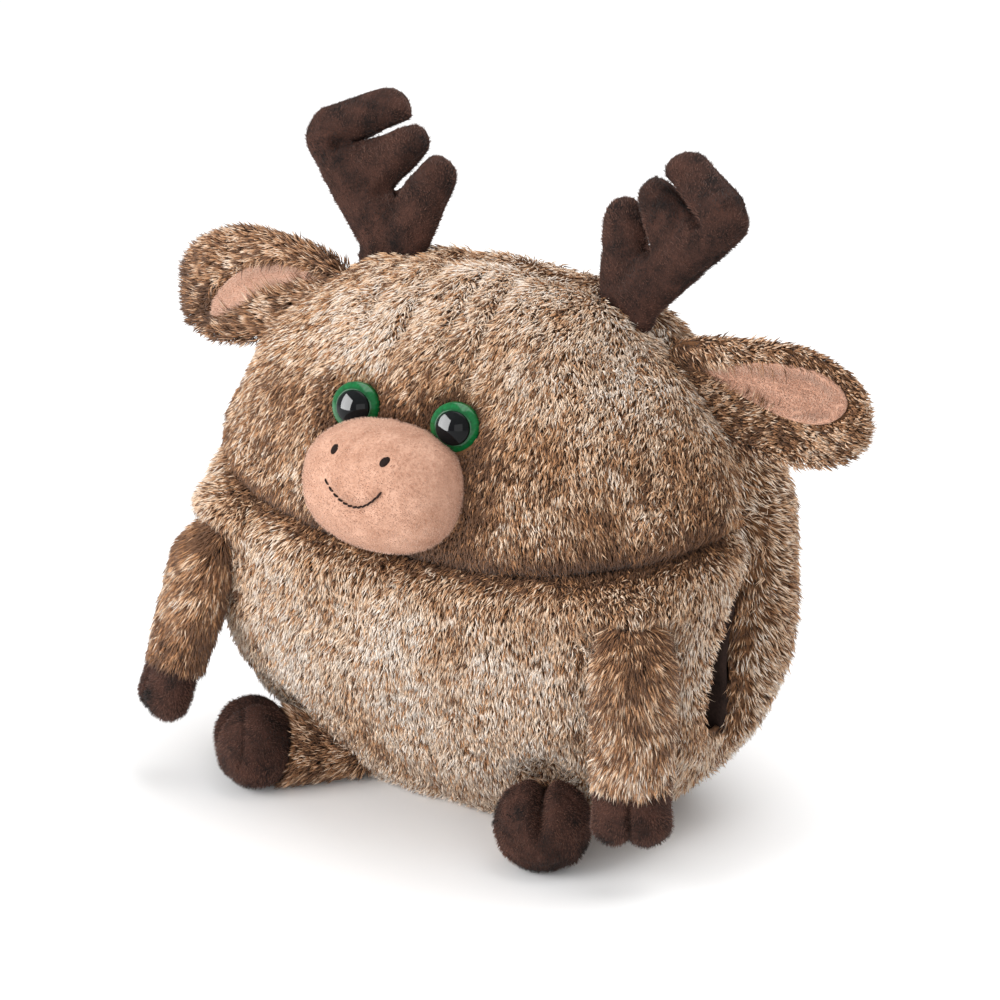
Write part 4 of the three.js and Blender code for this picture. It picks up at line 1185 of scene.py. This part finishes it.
def softenAntler(piece):  # thins the stuffing at the creases, draws in the seam and makes the plush uneven
    co = coordsOf(piece) / mm
    q = co - antlerBase
    place = np.stack([q @ antlerOut, q @ antlerUp], 1)
    back = q @ antlerBack
    thin = 1 - antler["creaseShare"] * bell(gapFar(place), antler["creaseSpread"])
    wave = antler["wave"] * (softNoise(co, antler["waveSize"], 21) - 0.5)
    wave = wave + antler["smallWave"] * (softNoise(co, antler["smallWaveSize"], 22) - 0.5)
    normals = surfaceOf(piece)[2]
    co = co + (thin - 1)[:, None] * back[:, None] * antlerBack + normals * wave[:, None]
    seam = bell(back, antler["seamSpread"]) * (place[:, 1] > antler["seamFrom"])
    return (co - normals * (antler["seamDepth"] * seam)[:, None]) * mm


def makeAntler(which, side):
    tines = [tinePiece(*tine) for tine in antler["tines"]]
    pick(*tines)
    bpy.ops.object.join()
    piece = bpy.context.object
    rename(piece, which + "_antler_plush")
    remesh(piece, antler["voxel"])
    for gap in antler["gaps"]:
        cutGap(piece, *gap)
    remesh(piece, antler["fineVoxel"])
    addModifier(piece, "SMOOTH", factor=antler["smooth"], iterations=antler["smoothTimes"])
    co = softenAntler(piece)
    setCoords(piece, co if side > 0 else mirrorX(co))
    cleanMesh(piece, merge=weld["finest"])
    skin = surfaceOf(piece)
    base = palm(0, 0) * mm * np.array([side, 1, 1])
    joint = jointAt(which + "_antler_body", base, antlerUp, antler["blendIn"], antler["blendOut"])
    finishPiece(piece, joint, "brown_plush", materials["brown"], which + "_antler", fill=antler["fill"])
    growFur(which + "_antler_nap", skin, 10000, antlerNap, steadyFlow(antlerUp), joint,
            materials["brownNap"], "brown_plush", shade=napSheenPatches, seed=861, bent=False)


for which, side in sides.items():
    makeAntler(which, side)
print("antlers made")


# Arms

arm = {"y": -76, "z": 125.5, "normalX": 0.58, "spread": {"left": 1, "right": 17},
       "short": {"left": 0, "right": 4.5}, "root": 14, "rootFlat": 0.6, "wide": 1.5, "sleeve": 70,
       "cuff": 14.2, "swell": 0.8, "end": 0.96, "endFlat": 0.28, "pile": 4.5, "thinnest": 0.55,
       "thinOver": 26, "press": 9, "pressFrom": -14, "pressOver": 20, "narrow": 0.3, "narrowFrom": -12,
       "narrowOver": 18, "shade": {"left": -0.25, "right": -0.43}, "rootShade": 0.05, "rootAt": 2,
       "rootSpread": 6, "sleeveFill": 0.7, "hoofFill": 0.85, "blendIn": 12, "blendOut": 16}
armHoof = {"tall": 34, "radius": 13, "under": 1.2, "tuck": 5, "neck": 0.9, "neckFlat": 0.43, "toesFrom": 4,
           "cleft": -1.5, "cleftSpread": 1.3, "cleftShare": 0.3, "lobe": 4.6, "lobeSpread": 4.6,
           "broader": 0.1}
armFur = dict(longFur, length=9.5, lean=0.95, tuft=3.2)
hoofNap = dict(shortFur, length=2.0)


def armFrame(which, side):  # the root's place, and the axes: hinge, outwards and up the arm
    out = np.array([side * arm["normalX"], -math.sqrt(1 - arm["normalX"] ** 2), 0])
    hinge = np.array([-out[1], out[0], 0]) * side
    turn = math.radians(arm["spread"][which])
    up = np.array([0, 0, math.cos(turn)]) - out * math.sin(turn)
    origin = np.array([side * shoulder["x"][which], arm["y"], arm["z"]]) * mm
    return origin, np.stack([hinge, np.cross(up, hinge), up], 1)


def armSleeve(ball, inward):  # a flat sausage whose top is pressed to the body as a sewn-in sleeve's is
    flat, turn = roundParts(ball)
    under, up = arm["pile"], ball[:, 2] > 0
    low = np.clip(-ball[:, 2] / arm["end"], 0, 1)
    z = np.where(up, ball[:, 2] * (arm["root"] - under) * arm["rootFlat"], -arm["sleeve"] * low)
    tube = arm["cuff"] + arm["swell"] * np.sin(low * np.pi) - under
    radius = np.where(up, flat * (arm["root"] - under), tube * np.where(low < 1, 1, flat / arm["endFlat"]))
    thin = np.clip(arm["thinnest"] - z / arm["thinOver"], arm["thinnest"], 1)
    pressed = arm["press"] * np.clip((z - arm["pressFrom"]) / arm["pressOver"], 0, 1) ** 2 * inward
    wide = arm["wide"] * (1 - arm["narrow"] * np.clip((z - arm["narrowFrom"]) / arm["narrowOver"], 0, 1))
    return np.stack([radius * turn[:, 0] * wide, radius * turn[:, 1] * thin + pressed, z], -1)


def armHoofSpot(ball):  # two toes, parted all the way down
    h, hem = armHoof, -arm["sleeve"]
    flat, turn = roundParts(ball)
    r, upper = h["radius"] - h["under"], ball[:, 2] > 0
    z = hem - h["tall"] + h["radius"] + ball[:, 2] * np.where(upper, h["tall"] - h["radius"] + h["tuck"], r)
    radius = np.where(upper, np.where(ball[:, 2] < h["neck"], r, r * flat / h["neckFlat"]), flat * r)
    x, y = radius * turn[:, 0] * arm["wide"], radius * turn[:, 1]
    deep = np.clip((hem - h["toesFrom"] - z) / (h["tall"] - h["toesFrom"]), 0, 1)
    notch = bell(x - h["cleft"], h["cleftSpread"])
    lobes = h["lobe"] * bell(x - h["cleft"], h["lobeSpread"]) * deep ** 2
    y = y * (1 - notch * (h["cleftShare"] + h["cleftShare"] * deep))
    return np.stack([x * (1 + h["broader"] * deep), y, z + lobes], -1)


def makeArm(which, side):
    origin, axes = armFrame(which, side)
    down = -axes[:, 2]
    raised = np.array([0, 0, arm["short"][which]])

    def keep(points, normals):
        return (points - origin) @ down < (arm["sleeve"] - arm["short"][which]) * mm

    # Painted shade over the whole sleeve, more on the toy's right arm, and a little more just below its root
    def shade(points):
        along = (points - origin) @ down / mm
        return arm["shade"][which] - arm["rootShade"] * bell(along - arm["rootAt"], arm["rootSpread"])

    joint = jointAt(which + "_arm", origin, down, arm["blendIn"], arm["blendOut"])
    sleeve = mappedBall(which + "_arm_plush", 48, 60,
                        lambda ball: origin + armSleeve(ball, side) * mm @ axes.T)
    skin = surfaceOf(sleeve)
    finishPiece(sleeve, joint, "long_pile_fur", materials["backing"], which + "_arm_sleeve",
                fill=arm["sleeveFill"])
    growFur(which + "_arm_fur", skin, 14000, armFur, steadyFlow(down), joint, materials["fur"],
            "long_pile_fur", keep=keep, shade=shade, seed=901)
    hoof = mappedBall(which + "_arm_hoof_plush", 96, 64,
                      lambda ball: origin + (armHoofSpot(ball) + raised) * mm @ axes.T)
    hoofSkin = surfaceOf(hoof)
    finishPiece(hoof, which + "_arm", "brown_plush", materials["brown"], which + "_arm_hoof",
                fill=arm["hoofFill"])
    growFur(which + "_arm_hoof_nap", hoofSkin, 5000, hoofNap, steadyFlow(down), which + "_arm",
            materials["brownNap"], "brown_plush", shade=napSheenPatches, seed=921, bent=False)


for which, side in sides.items():
    makeArm(which, side)
print("arms made")


# Legs

leg = {"hoofX": {"left": 80, "right": 92}, "hoofY": -80, "root": 12, "rootEnd": 0.8, "sleeve": 25,
       "overlap": 6, "cuff": 18.5, "cuffMore": 1, "endShare": 0.5, "pile": 4, "lowest": 1.0, "furEnd": 26,
       "shade": -0.27, "sleeveFill": 0.6, "hoofFill": 0.9, "blendIn": 4, "blendOut": 14}
legHoof = {"radius": 23.2, "rest": 1.2, "under": 1.0, "sizes": (1.07, 1.0, 0.86), "full": 0.96, "fuller": 0.1,
           "cleftSpread": 3.2, "cleft": 0.4, "toes": 0.08, "toesForward": 0.45, "toesFrom": 0.3,
           "toesOver": 0.6, "hem": 0.06, "hemAt": 0.5, "hemSpread": 0.03, "lump": 0.07, "lumpSize": 9,
           "lowest": 0.6}
legFur = dict(armFur, length=10)


def legSleeve(ball, origin, axes):
    end = leg["sleeve"] + leg["overlap"]
    flat, turn = roundParts(ball)
    along = -leg["root"] + (end + leg["root"]) * (ball[:, 2] + 1) / 2
    radii = (leg["root"] * leg["rootEnd"], leg["root"], leg["cuff"] + leg["cuffMore"])
    radius = np.interp(along, (-leg["root"], 0, end), radii) - leg["pile"]
    radius = radius * np.minimum(1, flat / leg["endShare"])
    p = origin + np.stack([radius * turn[:, 0], radius * turn[:, 1], along], -1) * mm @ axes.T
    p[:, 2] = np.maximum(p[:, 2], leg["lowest"] * mm)
    return p


def legHoofSpot(ball, centre, axes):  # a full ball with a cleft between two toes that point forwards and up
    h = legHoof
    up = ball @ axes[2]  # how far each point is to the sky
    notch = bell(ball[:, 0] * h["radius"], h["cleftSpread"])
    toes = np.clip((up + h["toesForward"] * ball[:, 2] - h["toesFrom"]) / h["toesOver"], 0, 1)
    size = np.maximum((np.abs(ball) ** 3).sum(1) ** (1 / 3), tiny)
    corner = 1 - np.abs(ball).max(1) / size
    p = ball * (h["radius"] - h["under"]) * np.array(h["sizes"]) * (h["full"] + h["fuller"] * corner)[:, None]
    hem = h["hem"] * bell(ball[:, 2] - h["hemAt"], h["hemSpread"])
    p = p * (1 - h["cleft"] * notch * toes - hem)[:, None]
    lump = h["lump"] * (softNoise(p, h["lumpSize"], 31) - 0.5)
    q = centre + p * (1 + h["toes"] * toes * (1 - notch) + lump)[:, None] * mm @ axes.T
    q[:, 2] = np.maximum(q[:, 2], h["lowest"] * mm)
    return q


def makeLeg(which, side):
    origin = np.array([side * legRoot["x"], legRoot["y"], legRoot["z"]]) * mm
    centre = np.array([side * leg["hoofX"][which], leg["hoofY"], legHoof["radius"] - legHoof["rest"]]) * mm
    axes = frameAlong(centre - origin, (0, 0, 1))
    towards = axes[:, 2]
    level = unit(np.cross([0, 0, 1], towards))
    hoofAxes = np.stack([level, np.cross(towards, level), towards], 1)

    def keep(points, normals):
        return (points - origin) @ towards < leg["furEnd"] * mm

    # Painted shade over the whole leg, which stands under the body
    def shade(points):
        return np.full(len(points), leg["shade"])

    joint = jointAt(which + "_leg", origin, towards, leg["blendIn"], leg["blendOut"])
    sleeve = mappedBall(which + "_leg_plush", 40, 32, lambda ball: legSleeve(ball, origin, axes))
    skin = surfaceOf(sleeve)
    finishPiece(sleeve, joint, "long_pile_fur", materials["backing"], which + "_leg_sleeve",
                fill=leg["sleeveFill"])
    growFur(which + "_leg_fur", skin, 7000, legFur, steadyFlow(towards), joint, materials["darkFur"],
            "long_pile_fur", keep=keep, shade=shade, seed=951)
    hoof = mappedBall(which + "_leg_hoof_plush", 96, 64, lambda ball: legHoofSpot(ball, centre, hoofAxes))
    hoofSkin = surfaceOf(hoof)
    finishPiece(hoof, which + "_leg", "brown_plush", materials["brown"], which + "_leg_hoof",
                fill=leg["hoofFill"])
    growFur(which + "_leg_hoof_nap", hoofSkin, 6000, hoofNap, downFlow, which + "_leg", materials["brownNap"],
            "brown_plush", shade=napSheenPatches, seed=971, bent=False)


for which, side in sides.items():
    makeLeg(which, side)
print("legs made")


# Hidden washers keep their own solids

washerMaterial = newMaterial("washerPlastic", 0.5, Base_Color=linear(230, 230, 226))[0]
for piece in bpy.context.scene.objects:
    if piece.name.endswith("_eye_washer"):
        for slot in piece.material_slots:
            slot.material = washerMaterial
print("washers coloured")


# Floor, light and camera, in metres

floorLook = {"size": 60, "roughness": 0.9, "colour": (0.9, 0.9, 0.9, 1)}
sky = {"colour": (1, 1, 1, 1), "strength": 0.62}
# The catch box is seen in the pupils only
lamps = {"keyBox": {"place": (-0.62, -1.36, 0.58), "size": (1.2, 1.5), "power": 29},
         "fillBox": {"place": (1.3, -1.4, 0.5), "size": (1.2, 1.2), "power": 9},
         "ceilingBox": {"place": (0.3, 0.7, 2.0), "size": (2.2, 2.2), "power": 42},
         "catchBox": {"place": (-0.58, -1.0, 0.42), "size": (1.1, 1.5), "power": 160}}
camera = {"azimuth": 36.0, "elevation": 20.5, "distance": 3.0, "lens": 225, "sensor": 36, "clip": (0.1, 20),
          "right": -0.0024, "up": 0.01248}
aim = Vector((0, 0, 0.13))

deselect()
bpy.ops.mesh.primitive_plane_add(size=floorLook["size"], location=(0, 0, 0))
floor = bpy.context.object
floor.name = "floor"
floor.data.materials.append(newMaterial("paleFloor", floorLook["roughness"],
                                        Base_Color=floorLook["colour"])[0])

world = bpy.data.worlds.new("studio")
bpy.context.scene.world = world
world.use_nodes = True
background = world.node_tree.nodes["Background"]
background.inputs["Color"].default_value = sky["colour"]
background.inputs["Strength"].default_value = sky["strength"]


def softBox(name, place, size, power):
    lamp = bpy.data.lights.new(name, "AREA")
    lamp.shape, lamp.size, lamp.size_y, lamp.energy = "RECTANGLE", *size, power
    holder = bpy.data.objects.new(name, lamp)
    bpy.context.scene.collection.objects.link(holder)
    holder.location = place
    holder.rotation_mode = "QUATERNION"
    holder.rotation_quaternion = (aim - Vector(place)).to_track_quat("-Z", "Y")
    return holder


pupils = bpy.data.collections.new("pupilsOnly")
for piece in bpy.context.scene.objects:
    if piece.name.endswith("_eye_black"):
        pupils.objects.link(piece)
boxes = {name: softBox(name, **lamp) for name, lamp in lamps.items()}
boxes["catchBox"].light_linking.receiver_collection = pupils

azimuth, elevation = math.radians(camera["azimuth"]), math.radians(camera["elevation"])
level = math.cos(elevation)
backwards = Vector((math.sin(azimuth) * level, -math.cos(azimuth) * level, math.sin(elevation)))
rightwards = Vector((math.cos(azimuth), math.sin(azimuth), 0))
upwards = backwards.cross(rightwards)
place = aim + rightwards * camera["right"] + upwards * camera["up"] + backwards * camera["distance"]
cameraObject = bpy.data.objects.new("camera", bpy.data.cameras.new("camera"))
bpy.context.scene.collection.objects.link(cameraObject)
cameraObject.matrix_world = Matrix((
    (rightwards.x, upwards.x, backwards.x, place.x), (rightwards.y, upwards.y, backwards.y, place.y),
    (rightwards.z, upwards.z, backwards.z, place.z), (0, 0, 0, 1)))
cameraObject.data.lens, cameraObject.data.sensor_width = camera["lens"], camera["sensor"]
cameraObject.data.clip_start, cameraObject.data.clip_end = camera["clip"]
bpy.context.scene.camera = cameraObject
bpy.context.scene.view_settings.view_transform = "Standard"
print("stage made")
